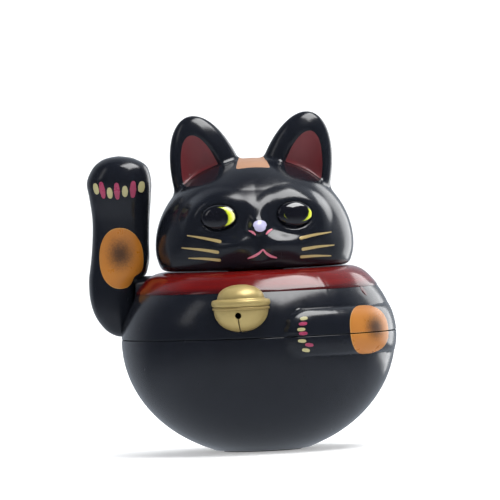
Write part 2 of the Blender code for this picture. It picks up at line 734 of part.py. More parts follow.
def build_bell(gold, steel):
    bell = as_object("bell", at_bell(turned(bell_profile(), 26)), gold)
    seat_radius = BODY_RADIUS + GAP
    seat_rise = BODY_RISE + GAP
    seat = ellipse_arc(BODY_EQUATOR, seat_radius, seat_rise, 18 * MM, 38 * MM, 9)
    seat = [(0, 18 * MM)] + seat + [(0, 38 * MM)]
    front = -BODY_RADIUS - 10 * MM
    cut(
        bell,
        as_object("bell_hollow", at_bell(turned(bell_hollow_profile(), 18))),
        as_object("bell_seat", turned(seat, BODY_STEPS)),
        rod("bell_hole", BELL_HOLE_RADIUS, (0, front, BELL_HOLE_HEIGHT), (0, -BELL_AXIS, BELL_HOLE_HEIGHT), steps=16),
        box(
            "bell_slot",
            (-BELL_SLOT / 2, front, BELL_FOOT - MM),
            (BELL_SLOT / 2, -BELL_AXIS - 0.5 * MM, BELL_HOLE_HEIGHT),
        ),
    )
    peg_start = (0, -BELL_AXIS - 2 * MM, PEG_HEIGHT)
    add(bell, rod("bell_peg", PEG_RADIUS, peg_start, (0, -PEG_END, PEG_HEIGHT)))

    clip_end = CLIP_START - CLIP_THICKNESS
    clip = rod("bell_clip", CLIP_RADIUS, (0, -CLIP_START, PEG_HEIGHT), (0, -clip_end, PEG_HEIGHT), steel)
    hole_start = (0, -CLIP_START - MM, PEG_HEIGHT)
    hole_end = (0, -clip_end + MM, PEG_HEIGHT)
    cut(clip, rod("clip_hole", PEG_RADIUS + GAP, hole_start, hole_end))


def main():
    clear_scene()
    black = gloss_black()
    steel = bare_steel()
    plastic = natural_plastic()
    build_lower_shell(black)
    build_upper_shell(black)
    build_body_hardware(steel, cast_iron(), foot_rubber())
    build_neck_hardware(plastic, steel)
    build_head(black, eye_enamel())
    build_arm(black, steel, plastic)
    build_bell(gold_plate(), steel)


main()
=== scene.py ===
# Looks of the beckoning cat figurine: smooth shells, paint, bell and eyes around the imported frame
from math import atan2, cos, pi, radians, sin, sqrt

import bmesh
import bpy
import numpy as np
from mathutils import Matrix, Vector
from mathutils.bvhtree import BVHTree


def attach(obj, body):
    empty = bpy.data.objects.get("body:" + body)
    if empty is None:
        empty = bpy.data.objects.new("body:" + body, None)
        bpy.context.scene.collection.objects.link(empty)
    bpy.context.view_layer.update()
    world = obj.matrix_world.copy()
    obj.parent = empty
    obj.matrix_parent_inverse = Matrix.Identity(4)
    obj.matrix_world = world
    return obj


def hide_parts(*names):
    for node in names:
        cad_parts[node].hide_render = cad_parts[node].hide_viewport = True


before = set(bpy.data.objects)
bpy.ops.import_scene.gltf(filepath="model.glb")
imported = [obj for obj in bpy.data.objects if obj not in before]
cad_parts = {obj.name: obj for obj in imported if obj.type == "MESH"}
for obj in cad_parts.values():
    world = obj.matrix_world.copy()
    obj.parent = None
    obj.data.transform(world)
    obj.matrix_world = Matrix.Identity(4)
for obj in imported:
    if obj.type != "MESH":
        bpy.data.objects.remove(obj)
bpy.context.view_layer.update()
mm = 0.001
sameSpot = 0.0005 * mm  # points closer than this are one
thinEdge = 0.0002 * mm  # edges shorter than this go
print("frame loaded")


def smoothStep(low, high, value):
    t = np.clip((value - low) / (high - low), 0.0, 1.0)
    return t * t * (3 - 2 * t)


def softMin(a, b, soft):
    share = np.clip(0.5 + 0.5 * (b - a) / soft, 0.0, 1.0)
    return b + (a - b) * share - soft * share * (1 - share)


def softMax(a, b, soft):
    return -softMin(-a, -b, soft)


def hump(distance, inner, outer):
    # 1 inside, easing to 0 outside
    return 1 - smoothStep(inner, outer, distance)


def ellipsoid(x, y, z, middle, half):
    # close to the true distance near the skin, negative inside
    u = (x - middle[0]) / half[0]
    v = (y - middle[1]) / half[1]
    w = (z - middle[2]) / half[2]
    reach = np.sqrt(u * u + v * v + w * w) + 1e-9
    slope = np.sqrt((u / half[0]) ** 2 + (v / half[1]) ** 2 + (w / half[2]) ** 2) + 1e-9
    return reach * (reach - 1) / slope


def arcPoints(middle, halfWidth, reach, low, high, count):
    # points (radius, height) along an ellipse between two heights
    first = np.arcsin((low - middle) / reach)
    last = np.arcsin((high - middle) / reach)
    turn = np.linspace(first, last, count)
    return list(zip(halfWidth * np.cos(turn), middle + reach * np.sin(turn)))


def roundedCorner(before, corner, after, radius, count=5):
    # swaps a sharp profile corner for a small curve
    a = np.array(corner) + radius * unit(np.array(before) - np.array(corner))
    b = np.array(corner) + radius * unit(np.array(after) - np.array(corner))
    t = np.linspace(0, 1, count)[:, None]
    curve = (1 - t) ** 2 * a + 2 * t * (1 - t) * np.array(corner) + t ** 2 * b
    return [tuple(p) for p in curve]


def unit(v):
    return v / (np.linalg.norm(v) + 1e-12)


def makePiece(name, points, faces, finish):
    # points come in millimetres
    mesh = bpy.data.meshes.new(name)
    mesh.from_pydata([tuple(float(c) * mm for c in p) for p in points], [], faces)
    cleaned(mesh, dropThin=False)
    if finish:
        mesh.materials.append(finish)
    return linked(name, mesh)


def linked(name, data):
    obj = bpy.data.objects.new(name, data)
    bpy.context.scene.collection.objects.link(obj)
    return obj


def settle(obj, body, slot, stands=(), sharp=40):
    # smooth shading, the body it moves with, and the CAD nodes it stands for
    obj.data.shade_smooth()
    obj.data.set_sharp_from_angle(angle=radians(sharp))
    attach(obj, body)
    if stands:
        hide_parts(*stands)
    return obj


def ringFaces(rings, columns, closed=False):
    # four-sided faces between rows of points that run round a form
    faces = []
    for r in range(rings if closed else rings - 1):
        s = (r + 1) % rings
        for c in range(columns):
            d = (c + 1) % columns
            faces.append((r * columns + c, r * columns + d, s * columns + d, s * columns + c))
    return faces


def latheMesh(profile, columns, closed=False, shape=None):
    # turns (radius, height) points about the upright axis; shape may move the points
    turn = np.arange(columns) / columns * 2 * pi
    rows = []
    for radius, height in profile:
        level = np.full(columns, height)
        rows.append(np.stack([radius * np.sin(turn), -radius * np.cos(turn), level], 1))
    points = np.array(rows)
    if shape:
        points = shape(points)
    return points.reshape(-1, 3), ringFaces(len(profile), columns, closed)


def lathe(name, profile, columns, finish=None, closed=False, shape=None):
    points, faces = latheMesh(profile, columns, closed, shape)
    obj = makePiece(name, points, faces, finish)
    cleaned(obj.data, joinPoints=False)
    return obj


def cleaned(mesh, joinPoints=True, dropThin=True):
    # joins doubled points, drops faces with no area and turns every face outwards
    bm = bmesh.new()
    bm.from_mesh(mesh)
    if joinPoints:
        bmesh.ops.remove_doubles(bm, verts=bm.verts, dist=sameSpot)
    if dropThin:
        bmesh.ops.dissolve_degenerate(bm, edges=bm.edges, dist=thinEdge)
    bmesh.ops.recalc_face_normals(bm, faces=bm.faces)
    if bm.calc_volume(signed=True) < 0:
        bmesh.ops.reverse_faces(bm, faces=bm.faces)
    bm.to_mesh(mesh)
    bm.free()


def rodPiece(name, radius, start, end, columns=48):
    a, b = Vector(start), Vector(end)
    bm = bmesh.new()
    turn = (b - a).to_track_quat("Z", "Y").to_matrix().to_4x4()
    place = Matrix.Translation((a + b) / 2 * mm) @ turn
    wide, long = radius * mm, (b - a).length * mm
    bmesh.ops.create_cone(bm, cap_ends=True, segments=columns, radius1=wide, radius2=wide, depth=long,
                          matrix=place)
    return fromBmesh(name, bm)


def boxPiece(name, low, high):
    bm = bmesh.new()
    a, b = Vector(low) * mm, Vector(high) * mm
    bmesh.ops.create_cube(bm, size=1, matrix=Matrix.Translation((a + b) / 2) @ Matrix.Diagonal((*(b - a), 1)))
    return fromBmesh(name, bm)


def fromBmesh(name, bm):
    mesh = bpy.data.meshes.new(name)
    bm.to_mesh(mesh)
    bm.free()
    return linked(name, mesh)


def carve(obj, tool, how="DIFFERENCE"):
    # applies one boolean and throws the tool away
    step = obj.modifiers.new("carve", "BOOLEAN")
    step.operation = how
    step.solver = "EXACT"
    step.object = tool
    graph = bpy.context.evaluated_depsgraph_get()
    done = bpy.data.meshes.new_from_object(obj.evaluated_get(graph))
    obj.modifiers.clear()
    old = obj.data
    obj.data = done
    bpy.data.meshes.remove(old)
    bpy.data.objects.remove(tool, do_unlink=True)


def skin(field, low, high, step):
    # surface nets over a grid of the field, then each point is pulled onto the surface
    axes = [np.arange(a, b + step, step) for a, b in zip(low, high)]
    x, y, z = np.meshgrid(*axes, indexing="ij")
    values = field(x, y, z)
    size = np.array(values.shape) - 1
    total = np.zeros((*size, 3))
    hits = np.zeros(size)
    quads = []
    corner = np.array(low, float)
    for axis in range(3):
        near = [slice(None)] * 3
        far = [slice(None)] * 3
        near[axis] = slice(0, -1)
        far[axis] = slice(1, None)
        a, b = values[tuple(near)], values[tuple(far)]
        where = np.argwhere((a < 0) != (b < 0))
        others = [k for k in range(3) if k != axis]
        keep = np.all((where[:, others] > 0) & (where[:, others] < size[others]), axis=1)
        where = where[keep]
        va = a[tuple(where.T)]
        vb = b[tuple(where.T)]
        crossing = where * step + corner
        crossing[:, axis] += va / (va - vb) * step
        cells = []
        for i, j in ((0, 0), (1, 0), (1, 1), (0, 1)):
            cell = where.copy()
            cell[:, others[0]] -= i
            cell[:, others[1]] -= j
            cells.append(cell)
            np.add.at(total, tuple(cell.T), crossing)
            np.add.at(hits, tuple(cell.T), 1)
        ids = [np.ravel_multi_index(tuple(c.T), tuple(size)) for c in cells]
        flip = (va < 0) ^ (axis == 1)
        quad = np.stack(ids, 1)
        quads.append(np.where(flip[:, None], quad, quad[:, ::-1]))
    quads = np.concatenate(quads)
    used, local = np.unique(quads, return_inverse=True)
    points = (total.reshape(-1, 3)[used]) / hits.reshape(-1)[used][:, None]
    for _ in range(4):
        points = pulledOnto(field, points, 0.02)
    return points, local.reshape(-1, 4)


def pulledOnto(field, points, h):
    x, y, z = points.T
    slope = np.stack([
        field(x + h, y, z) - field(x - h, y, z),
        field(x, y + h, z) - field(x, y - h, z),
        field(x, y, z + h) - field(x, y, z - h),
    ], 1) / (2 * h)
    length = np.maximum((slope ** 2).sum(1), 0.05)
    move = slope * (field(x, y, z) / length)[:, None]
    far = np.linalg.norm(move, axis=1)[:, None]
    return points - move * np.minimum(1, 0.15 / (far + 1e-9))


def half(obj, name, front, gap, finish, body, stands, turn=None):
    # one side of a moulded form, parted along the plane y = 0 and closed again
    bm = bmesh.new()
    bm.from_mesh(obj.data)
    out = (0, 1 if front else -1, 0)
    at = (0, (-gap if front else gap) * mm, 0)
    geom = bm.verts[:] + bm.edges[:] + bm.faces[:]
    found = bmesh.ops.bisect_plane(bm, geom=geom, dist=1e-8, plane_co=at, plane_no=out, clear_outer=True)
    edges = [e for e in found["geom_cut"] if isinstance(e, bmesh.types.BMEdge)]
    bmesh.ops.triangle_fill(bm, use_beauty=True, edges=edges, normal=out)
    bmesh.ops.recalc_face_normals(bm, faces=bm.faces)
    made = fromBmesh(name, bm)
    made.data.materials.append(finish)
    if turn:
        made.data.transform(turn)
    return settle(made, body, "gloss_black", [stands])


def casting(*objs):
    # a tree of the faces, for dropping paint on them
    bm = bmesh.new()
    for obj in objs:
        bm.from_mesh(obj.data)
    tree = BVHTree.FromBMesh(bm)
    bm.free()
    return tree


def dropOn(tree, start, along):
    # where a line meets the surface, and the surface's direction there, in millimetres
    hit, normal, _, _ = tree.ray_cast(Vector(start) * mm, Vector(along).normalized())
    if hit is None:
        return None
    if normal.dot(Vector(along)) > 0:
        normal = -normal
    return np.array(hit) / mm, np.array(normal)


def film(name, rows, place, thick, finish, turn=None, **rest):
    # paint on a surface: rows of flat points, dropped on it and raised towards the middle of each row
    edge = 0.03  # how deep its rim is sunk
    top, bottom, flat = [], [], []
    count = len(rows)
    across = len(rows[0])
    for r, row in enumerate(rows):
        for c, spot in enumerate(row):
            found = place(*spot)
            if found is None:
                return None
            where, normal = found
            u, v = abs(2 * c / (across - 1) - 1), abs(2 * r / (count - 1) - 1)
            side, end = 1 - u ** 4, 1 - v ** 10
            rise = thick * sqrt(max(0.0, side * end))
            top.append(where + normal * (rise - edge * (1 - min(1, 4 * side * end))))
            bottom.append(where - normal * 2.5 * edge)
            flat.append((*spot, min(1 - u, 1 - v)))
    points = top + bottom
    shift = count * across
    faces = []
    for r in range(count - 1):
        for c in range(across - 1):
            a = r * across + c
            faces.append((a, a + 1, a + across + 1, a + across))
            faces.append((shift + a, shift + a + across, shift + a + across + 1, shift + a + 1))
    rim = list(range(across)) + [r * across + across - 1 for r in range(1, count)]
    rim += [(count - 1) * across + c for c in range(across - 2, -1, -1)]
    rim += [r * across for r in range(count - 2, 0, -1)]
    for i, a in enumerate(rim):
        b = rim[(i + 1) % len(rim)]
        faces.append((a, shift + a, shift + b, b))
    if turn is not None:
        points = [turn @ Vector(p) for p in points]
    return settle(flatPiece(name, points, faces, flat + flat, finish), **rest)


def strokeRows(path, widths, across=7, count=24):
    # rows of points along a line through the path, with a half width that changes along it
    path = np.array(path, float)
    widths = np.array(widths, float)
    lengths = np.concatenate([[0], np.cumsum(np.linalg.norm(np.diff(path, axis=0), axis=1))])
    at = (1 - np.cos(np.linspace(0, pi, count))) / 2 * lengths[-1]
    fine = smoothPath(path, lengths, at)
    run = np.gradient(fine, axis=0)
    run /= np.linalg.norm(run, axis=1)[:, None] + 1e-12
    side = np.stack([-run[:, 1], run[:, 0]], 1)
    wide = np.interp(at, np.linspace(0, lengths[-1], len(widths)), widths)
    ends = np.minimum(1, np.minimum(at, lengths[-1] - at) / np.maximum(wide, 1e-6))
    wide = np.maximum(wide * np.sqrt(np.clip(ends * (2 - ends), 0, 1)), 0.004)
    places = np.sin(np.linspace(-pi / 2, pi / 2, across))
    return [[tuple(p + s * w * k) for k in places] for p, s, w in zip(fine, side, wide)]


def smoothPath(path, lengths, at):
    # a gentle curve through the points
    if len(path) < 3:
        return np.stack([np.interp(at, lengths, path[:, k]) for k in range(2)], 1)
    slopes = np.gradient(path, lengths, axis=0)
    out = []
    for value in at:
        i = min(max(int(np.searchsorted(lengths, value) - 1), 0), len(path) - 2)
        gap = lengths[i + 1] - lengths[i]
        t = (value - lengths[i]) / gap
        h0, h1 = 2 * t ** 3 - 3 * t ** 2 + 1, t ** 3 - 2 * t ** 2 + t
        h2, h3 = -2 * t ** 3 + 3 * t ** 2, t ** 3 - t ** 2
        out.append(h0 * path[i] + h1 * gap * slopes[i] + h2 * path[i + 1] + h3 * gap * slopes[i + 1])
    return np.array(out)


def patchRows(middle, reach, across=15, count=25):
    # rows that fill a closed outline; reach gives the outline's distance at an angle
    rows = []
    for v in np.sin(np.linspace(-pi / 2, pi / 2, count)):
        row = []
        for u in np.sin(np.linspace(-pi / 2, pi / 2, across)):
            # square to disc
            x = u * sqrt(max(0.0, 1 - v * v / 2))
            y = v * sqrt(max(0.0, 1 - u * u / 2))
            far = reach(atan2(y, x))
            row.append((middle[0] + x * far, middle[1] + y * far))
        rows.append(row)
    return rows


def ovalReach(halfWide, halfHigh, power=2.0):
    def reach(angle):
        return (abs(cos(angle) / halfWide) ** power + abs(sin(angle) / halfHigh) ** power) ** (-1 / power)
    return reach


def newMaterial(name):
    made = bpy.data.materials.new(name)
    made.use_nodes = True
    return made, made.node_tree, made.node_tree.nodes["Principled BSDF"]


def addNode(tree, kind, inputs=None, **settings):
    made = tree.nodes.new("ShaderNode" + kind)
    for key, value in settings.items():
        setattr(made, key, value)
    for key, value in (inputs or {}).items():
        if isinstance(value, bpy.types.NodeSocket):
            tree.links.new(value, made.inputs[key])
        else:
            made.inputs[key].default_value = value
    return made


def ramp(tree, value, low, high, start=0.0, end=1.0):
    limits = {"Value": value, "From Min": low, "From Max": high, "To Min": start, "To Max": end}
    return addNode(tree, "MapRange", limits, interpolation_type="SMOOTHSTEP").outputs[0]


def mixColour(tree, share, a, b, how="MIX"):
    made = addNode(tree, "Mix", {0: share}, data_type="RGBA", blend_type=how)
    for slot, value in ((6, a), (7, b)):
        if isinstance(value, bpy.types.NodeSocket):
            tree.links.new(value, made.inputs[slot])
        else:
            made.inputs[slot].default_value = (*value, 1)
    return made.outputs[2]


def maths(tree, how, a, b=0.0, c=0.0):
    made = addNode(tree, "Math", {0: a, 1: b, 2: c}, operation=how)
    return made.outputs[0]


def noise(tree, place, scale, detail, rough=0.5):
    inputs = {"Vector": place, "Scale": scale, "Detail": detail, "Roughness": rough}
    return addNode(tree, "TexNoise", inputs).outputs["Fac"]


def ragged(tree, value, grain, amount):
    # the value shifted a little either way
    shift = maths(tree, "MULTIPLY", maths(tree, "SUBTRACT", grain, 0.5), amount)
    return maths(tree, "ADD", value, shift)


plainLook = {"driftScale": 160.0, "scratches": 0.4, "dust": 0.2, "dustColour": (0.35, 0.34, 0.33),
             "grain": 0.25, "grainScale": 900.0, "grainDepth": 0.02, "metallic": 0.0, "soft": 0.0}


def surface(name, look, colourFrom=None):
    # colour that drifts, fine bumps, hairline scratches and a little dust
    look = {**plainLook, **look}
    made, tree, shader = newMaterial(name)
    place = addNode(tree, "TexCoord").outputs["Object"]
    drift = noise(tree, place, look["driftScale"], 4.0)
    colour = mixColour(tree, drift, look["colour"], look["tint"])
    if colourFrom:
        colour = colourFrom(tree, colour, place)

    slant = {"Vector": place, "Rotation": (0.4, 0.7, 0.2), "Scale": (5200, 260, 700)}
    hair = noise(tree, addNode(tree, "Mapping", slant).outputs[0], 1.0, 2.0)
    scratch = ramp(tree, hair, 0.66, 0.74, 0.0, look["scratches"])

    cells = addNode(tree, "TexVoronoi", {"Vector": place, "Scale": 620.0, "Randomness": 1.0})
    speck = ramp(tree, cells.outputs["Distance"], 0.13, 0.06)
    bare = 1 - look["dust"]
    dust = maths(tree, "MULTIPLY", speck, ramp(tree, cells.outputs["Color"], bare, bare + 0.05))
    greyed = maths(tree, "MULTIPLY", dust, 0.35)
    colour = mixColour(tree, greyed, colour, look["dustColour"])
    tree.links.new(colour, shader.inputs["Base Color"])

    low, high = look["rough"]
    rough = ramp(tree, noise(tree, place, 420.0, 6.0, 0.65), 0.3, 0.75, low, high)
    rough = maths(tree, "ADD", rough, maths(tree, "MULTIPLY", maths(tree, "ADD", dust, scratch), 0.18))
    tree.links.new(rough, shader.inputs["Roughness"])

    grain = noise(tree, place, look["grainScale"], 3.0)
    height = maths(tree, "ADD", grain, maths(tree, "MULTIPLY", scratch, -0.35))
    height = maths(tree, "ADD", height, maths(tree, "MULTIPLY", dust, 0.25))
    relief = {"Strength": look["grain"], "Distance": look["grainDepth"] * mm, "Height": height}
    bumps = addNode(tree, "Bump", relief)
    tree.links.new(bumps.outputs[0], shader.inputs["Normal"])
    shader.inputs["Metallic"].default_value = look["metallic"]
    shader.inputs["Subsurface Weight"].default_value = look["soft"]
    shader.inputs["Subsurface Scale"].default_value = 0.3 * mm
    return made


def flatParts(tree):
    # where on the paint a point is: across, up and how far in from its edge
    where = addNode(tree, "Attribute", attribute_name="flat")
    parts = addNode(tree, "SeparateXYZ", {0: where.outputs["Vector"]})
    return parts.outputs[0], parts.outputs[1], parts.outputs[2]


def ovalFrom(tree, x, y, middle, half):
    # 1 at the oval's outline, less inside
    u = maths(tree, "DIVIDE", maths(tree, "SUBTRACT", x, middle[0]), half[0])
    v = maths(tree, "DIVIDE", maths(tree, "SUBTRACT", y, middle[1]), half[1])
    both = maths(tree, "ADD", maths(tree, "MULTIPLY", u, u), maths(tree, "MULTIPLY", v, v))
    return maths(tree, "SQRT", both)


paints = {
    "gloss_black": {"colour": (0.0048, 0.0058, 0.0086), "tint": (0.008, 0.0092, 0.013),
                    "rough": (0.15, 0.24), "scratches": 0.35, "dust": 0.05, "grain": 0.3,
                    "grainScale": 700.0, "grainDepth": 0.01, "dustColour": (0.11, 0.11, 0.12)},
    "paint_red": {"colour": (0.15, 0.005, 0.003), "tint": (0.08, 0.003, 0.003),
                  "rough": (0.11, 0.19), "grain": 0.3, "dust": 0.08},
    "paint_gold": {"colour": (0.5, 0.38, 0.17), "tint": (0.38, 0.28, 0.11),
                   "rough": (0.3, 0.42), "metallic": 0.35, "grain": 0.45, "grainScale": 2400.0},
    "paint_cream": {"colour": (0.36, 0.34, 0.18), "tint": (0.26, 0.23, 0.1),
                    "rough": (0.28, 0.45), "grain": 0.4},
    "paint_pink": {"colour": (0.3, 0.035, 0.09), "tint": (0.2, 0.02, 0.055),
                   "rough": (0.25, 0.4), "grain": 0.4},
    "paint_rose": {"colour": (0.55, 0.16, 0.22), "tint": (0.42, 0.1, 0.15),
                   "rough": (0.25, 0.4), "grain": 0.4},
    "paint_white": {"colour": (0.44, 0.43, 0.6), "tint": (0.36, 0.34, 0.5),
                    "rough": (0.2, 0.32), "grain": 0.35},
    "paint_tan": {"colour": (0.35, 0.19, 0.115), "tint": (0.29, 0.15, 0.08),
                  "rough": (0.28, 0.42), "grain": 0.4},
    "bell_gold": {"colour": (0.46, 0.36, 0.15), "tint": (0.36, 0.27, 0.1), "rough": (0.32, 0.48),
                  "metallic": 0.45, "scratches": 0.7, "dust": 0.15, "grain": 0.35,
                  "grainScale": 1500.0, "grainDepth": 0.015},
    "zinc_steel": {"colour": (0.52, 0.53, 0.55), "tint": (0.4, 0.41, 0.43),
                   "rough": (0.25, 0.45), "metallic": 1.0, "scratches": 0.9, "dust": 0.1},
    "weight_iron": {"colour": (0.16, 0.15, 0.145), "tint": (0.1, 0.085, 0.075),
                    "rough": (0.5, 0.75), "metallic": 0.9, "grain": 0.8, "grainDepth": 0.05},
    "natural_plastic": {"colour": (0.72, 0.69, 0.62), "tint": (0.63, 0.6, 0.53),
                        "rough": (0.35, 0.5), "soft": 0.15},
    "foot_rubber": {"colour": (0.03, 0.029, 0.028), "tint": (0.05, 0.048, 0.046),
                    "rough": (0.65, 0.85), "grain": 0.7, "grainDepth": 0.05},
}
black = surface("glossBlack", paints["gloss_black"])
shinyBlack = surface("shinyBlack", {**paints["gloss_black"], "rough": (0.15, 0.23)})
print("materials ready")


bodyShape = {
    "radius": 26.0, "equator": 21.3, "drop": 22.3, "rise": 19.5, "wall": 1.8, "columns": 384,
    "seam": 22.0, "seamGap": 0.05, "seamRound": 0.2,
    "foot": 0.25, "shoulder": 34.3, "shoulderSoft": 1.7,
    "armRise": 1.75, "armMiddle": 22.6, "armHalf": 4.5, "pawStart": 18.5, "pawLength": 5.2,
    "armFade": (58.0, 104.0), "mouldLine": 0.05, "mouldWide": 0.16, "mouldAngle": 41.25,
}


def bodyRadius(height):
    b = bodyShape
    reach = np.where(height > b["equator"], b["rise"], b["drop"])
    share = np.clip((height - b["equator"]) / reach, -1, 1)
    return b["radius"] * np.sqrt(1 - share ** 2)


def armRelief(turn, height):
    # the left arm moulded on the body: a paw with a clear top edge and a soft underside
    b = bodyShape
    across = (height - b["armMiddle"]) / b["armHalf"]
    across = np.where(across < 0, across * 0.97, across)
    along = np.degrees(turn) * radians(1) * b["radius"]
    start = radians(b["pawStart"]) * b["radius"]
    tip = np.clip((start + b["pawLength"] - along) / b["pawLength"], 0, 2)
    out = (np.abs(across) ** 2.6 + tip ** 2.6) ** (1 / 2.6)
    crisp = np.where(across > 0, 0.42, 0.62)
    rise = np.clip(1 - out ** 3.2, 0, 1) ** crisp
    fade = 1 - smoothStep(radians(b["armFade"][0]), radians(b["armFade"][1]), turn)
    return b["armRise"] * rise * fade


def raiseArm(points):
    radius = np.hypot(points[..., 0], points[..., 1])
    outer = radius > bodyRadius(points[..., 2]) - 0.3
    angle = np.arctan2(points[..., 0], -points[..., 1])
    grow = armRelief(angle, points[..., 2])
    grow = (grow + mouldLine(angle) * (points[..., 2] > bodyShape["seam"])) * outer
    return pushedOut(points, radius, grow)


def mouldLine(angle):
    # the thin upright flash left by the mould
    b = bodyShape
    return b["mouldLine"] * np.exp(-((angle - radians(b["mouldAngle"])) * b["radius"] / b["mouldWide"]) ** 2)


def pushedOut(points, radius, grow):
    scale = (radius + grow) / np.maximum(radius, 1e-6)
    points[..., 0] *= scale
    points[..., 1] *= scale
    return points


def shoulderCurve(low, count):
    # the outline from a height up over the shoulder, easing into the flat top
    b = bodyShape
    side = arcPoints(b["equator"], b["radius"], b["rise"], low, b["shoulder"] - b["shoulderSoft"], count)
    (r0, h0), (r1, h1) = side[-2:]
    corner = (r1 + (r1 - r0) / (h1 - h0) * b["shoulderSoft"], b["shoulder"])
    far = sqrt((r1 - corner[0]) ** 2 + b["shoulderSoft"] ** 2)
    return side + roundedCorner(side[-1], corner, (corner[0] - 3, b["shoulder"]), far, 12)[1:]


shoulder = {"height": 29.5, "face": 22.6, "pocket": 7.3, "boss": 4.4, "bossEnd": 17.5,
            "backing": 8.8, "backingFace": 20.9, "bore": 1.8, "relief": (9.1, 24.0, 20.6)}
bodyInside = {
    # upright rods: radius, foot and top
    "posts": (2.6, 12.3, 33.4), "pilots": (1.2, 11, 19.3),
    "bosses": (3.1, 4.5, 12), "wells": (2.3, -1, 8), "ways": (1.2, 7, 13),
    "weightBoss": (2.4, 2.1, 7.1), "weightPilot": (1.2, 3.5, 8),
    # radius and height along the neck, the tongue and the pad's recess
    "neck": [(5.0, 36.2), (4.8, 36.4), (1.2, 36.4), (1.2, 30.0), (5.0, 30.0), (5.0, 32.5)],
    "tongue": [(23.9, 23.4), (23.8, 23.5), (22.8, 23.5), (22.8, 19.0)],
    "recess": [(0, 1.3), (7.9, 1.3), (8.0, 1.2)],
    "floor": 3.1, "innerTop": 17.4, "ring": 14,
}
peg = {"height": 29.6, "back": -17.8, "radius": 1.0, "front": -26.8, "bore": 1.3, "boreFront": -28}
middleOnly = [(0, 0)]
posts = [(bodyInside["ring"] * cos(radians(a)), bodyInside["ring"] * sin(radians(a))) for a in (30, 90, 150)]


def uprights(places, radius, low, high):
    # separate upright rods as one cutting tool
    bm = bmesh.new()
    for x, y in places:
        one = rodPiece("tool", radius, (x, y, low), (x, y, high))
        bm.from_mesh(one.data)
        bpy.data.objects.remove(one, do_unlink=True)
    return fromBmesh("tool", bm)


def pegRod(radius, front):
    return rodPiece("tool", radius, (0, front, peg["height"]), (0, peg["back"], peg["height"]))


def shoulderRod(radius, outer, inner, columns=96):
    h = shoulder["height"]
    return rodPiece("tool", radius, (-outer, 0, h), (-inner, 0, h), columns)


def denseLine(points, step):
    # adds points along the straight parts of a profile
    out = [points[0]]
    for a, b in zip(points, points[1:]):
        far = sqrt((a[0] - b[0]) ** 2 + (a[1] - b[1]) ** 2)
        count = max(1, round(far / step))
        for k in range(1, count + 1):
            out.append((a[0] + (b[0] - a[0]) * k / count, a[1] + (b[1] - a[1]) * k / count))
    return out


def upperShell():
    b, n = bodyShape, bodyInside
    foot = b["seam"] + b["seamGap"]
    outer = shoulderCurve(foot + b["seamRound"], 50)
    start = roundedCorner((24.2, foot), (float(bodyRadius(foot)), foot), outer[0], b["seamRound"])
    top = denseLine([outer[-1], (5.3, b["shoulder"])], 0.8)
    neck = [(5.0, b["shoulder"] + 0.3)] + n["neck"]
    wide, high = b["radius"] - b["wall"], b["rise"] - b["wall"]
    inner = arcPoints(b["equator"], wide, high, foot, b["shoulder"] - b["wall"], 24)
    profile = start + outer[1:] + top[1:] + neck + inner[::-1]
    shell = lathe("body_upper_shell_form", profile, b["columns"], black, closed=True, shape=raiseArm)
    inset = [(0, 20.0)] + [(r - 0.4, h - 0.3) for r, h in outer[:50:4]] + [(19.0, 33.0), (0, 33.0)]
    backing = shoulderRod(shoulder["backing"], 30, shoulder["backingFace"])
    carve(backing, lathe("inset", inset, 96), "INTERSECT")
    carve(shell, backing, "UNION")
    carve(shell, shoulderRod(shoulder["pocket"], 31, shoulder["face"], 192))
    carve(shell, shoulderRod(shoulder["boss"], shoulder["face"], shoulder["bossEnd"]), "UNION")
    carve(shell, shoulderRod(shoulder["bore"], shoulder["face"] + 1, shoulder["bossEnd"] - 1))
    carve(shell, uprights(posts, *n["posts"]), "UNION")
    carve(shell, uprights(posts, *n["pilots"]))
    carve(shell, pegRod(peg["bore"], peg["boreFront"]))
    return shell


def lowerShell():
    b, n = bodyShape, bodyInside
    top = b["seam"] - b["seamGap"]
    bowl = arcPoints(b["equator"], b["radius"], b["drop"], b["foot"] + 0.25, b["equator"], 64)
    foot = roundedCorner((8.0, b["foot"]), (bowl[0][0] - 0.5, b["foot"]), bowl[1], 0.4)
    corner = roundedCorner(bowl[-1], (float(bodyRadius(top)), top), (24.0, top), b["seamRound"])
    recess = n["recess"] + [(8.0, b["foot"])]
    tongue = [(23.9, top)] + n["tongue"]
    wide, deep = b["radius"] - b["wall"], b["drop"] - b["wall"]
    inner = arcPoints(b["equator"], wide, deep, n["floor"], n["innerTop"], 24)
    profile = recess + foot + bowl[1:] + corner + tongue + inner[::-1] + [(0, n["floor"])]
    shell = lathe("body_lower_shell_form", profile, b["columns"], black, shape=raiseArm)
    carve(shell, uprights(posts, *n["bosses"]), "UNION")
    carve(shell, uprights(posts, *n["wells"]))
    carve(shell, uprights(posts, *n["ways"]))
    carve(shell, shoulderRod(*shoulder["relief"]))
    carve(shell, uprights(middleOnly, *n["weightBoss"]), "UNION")
    carve(shell, uprights(middleOnly, *n["weightPilot"]))
    return shell


upper = settle(upperShell(), "body", "gloss_black", ["body_upper_shell"])
lower = settle(lowerShell(), "body", "gloss_black", ["body_lower_shell"])
print("body shells done")


collarLook = {"foot": 30.5, "lift": 0.14, "columns": 384, "shadow": (0.03, 0.003, 0.004),
              "streak": (0.07, 0.005, 0.006), "hole": 8.0}


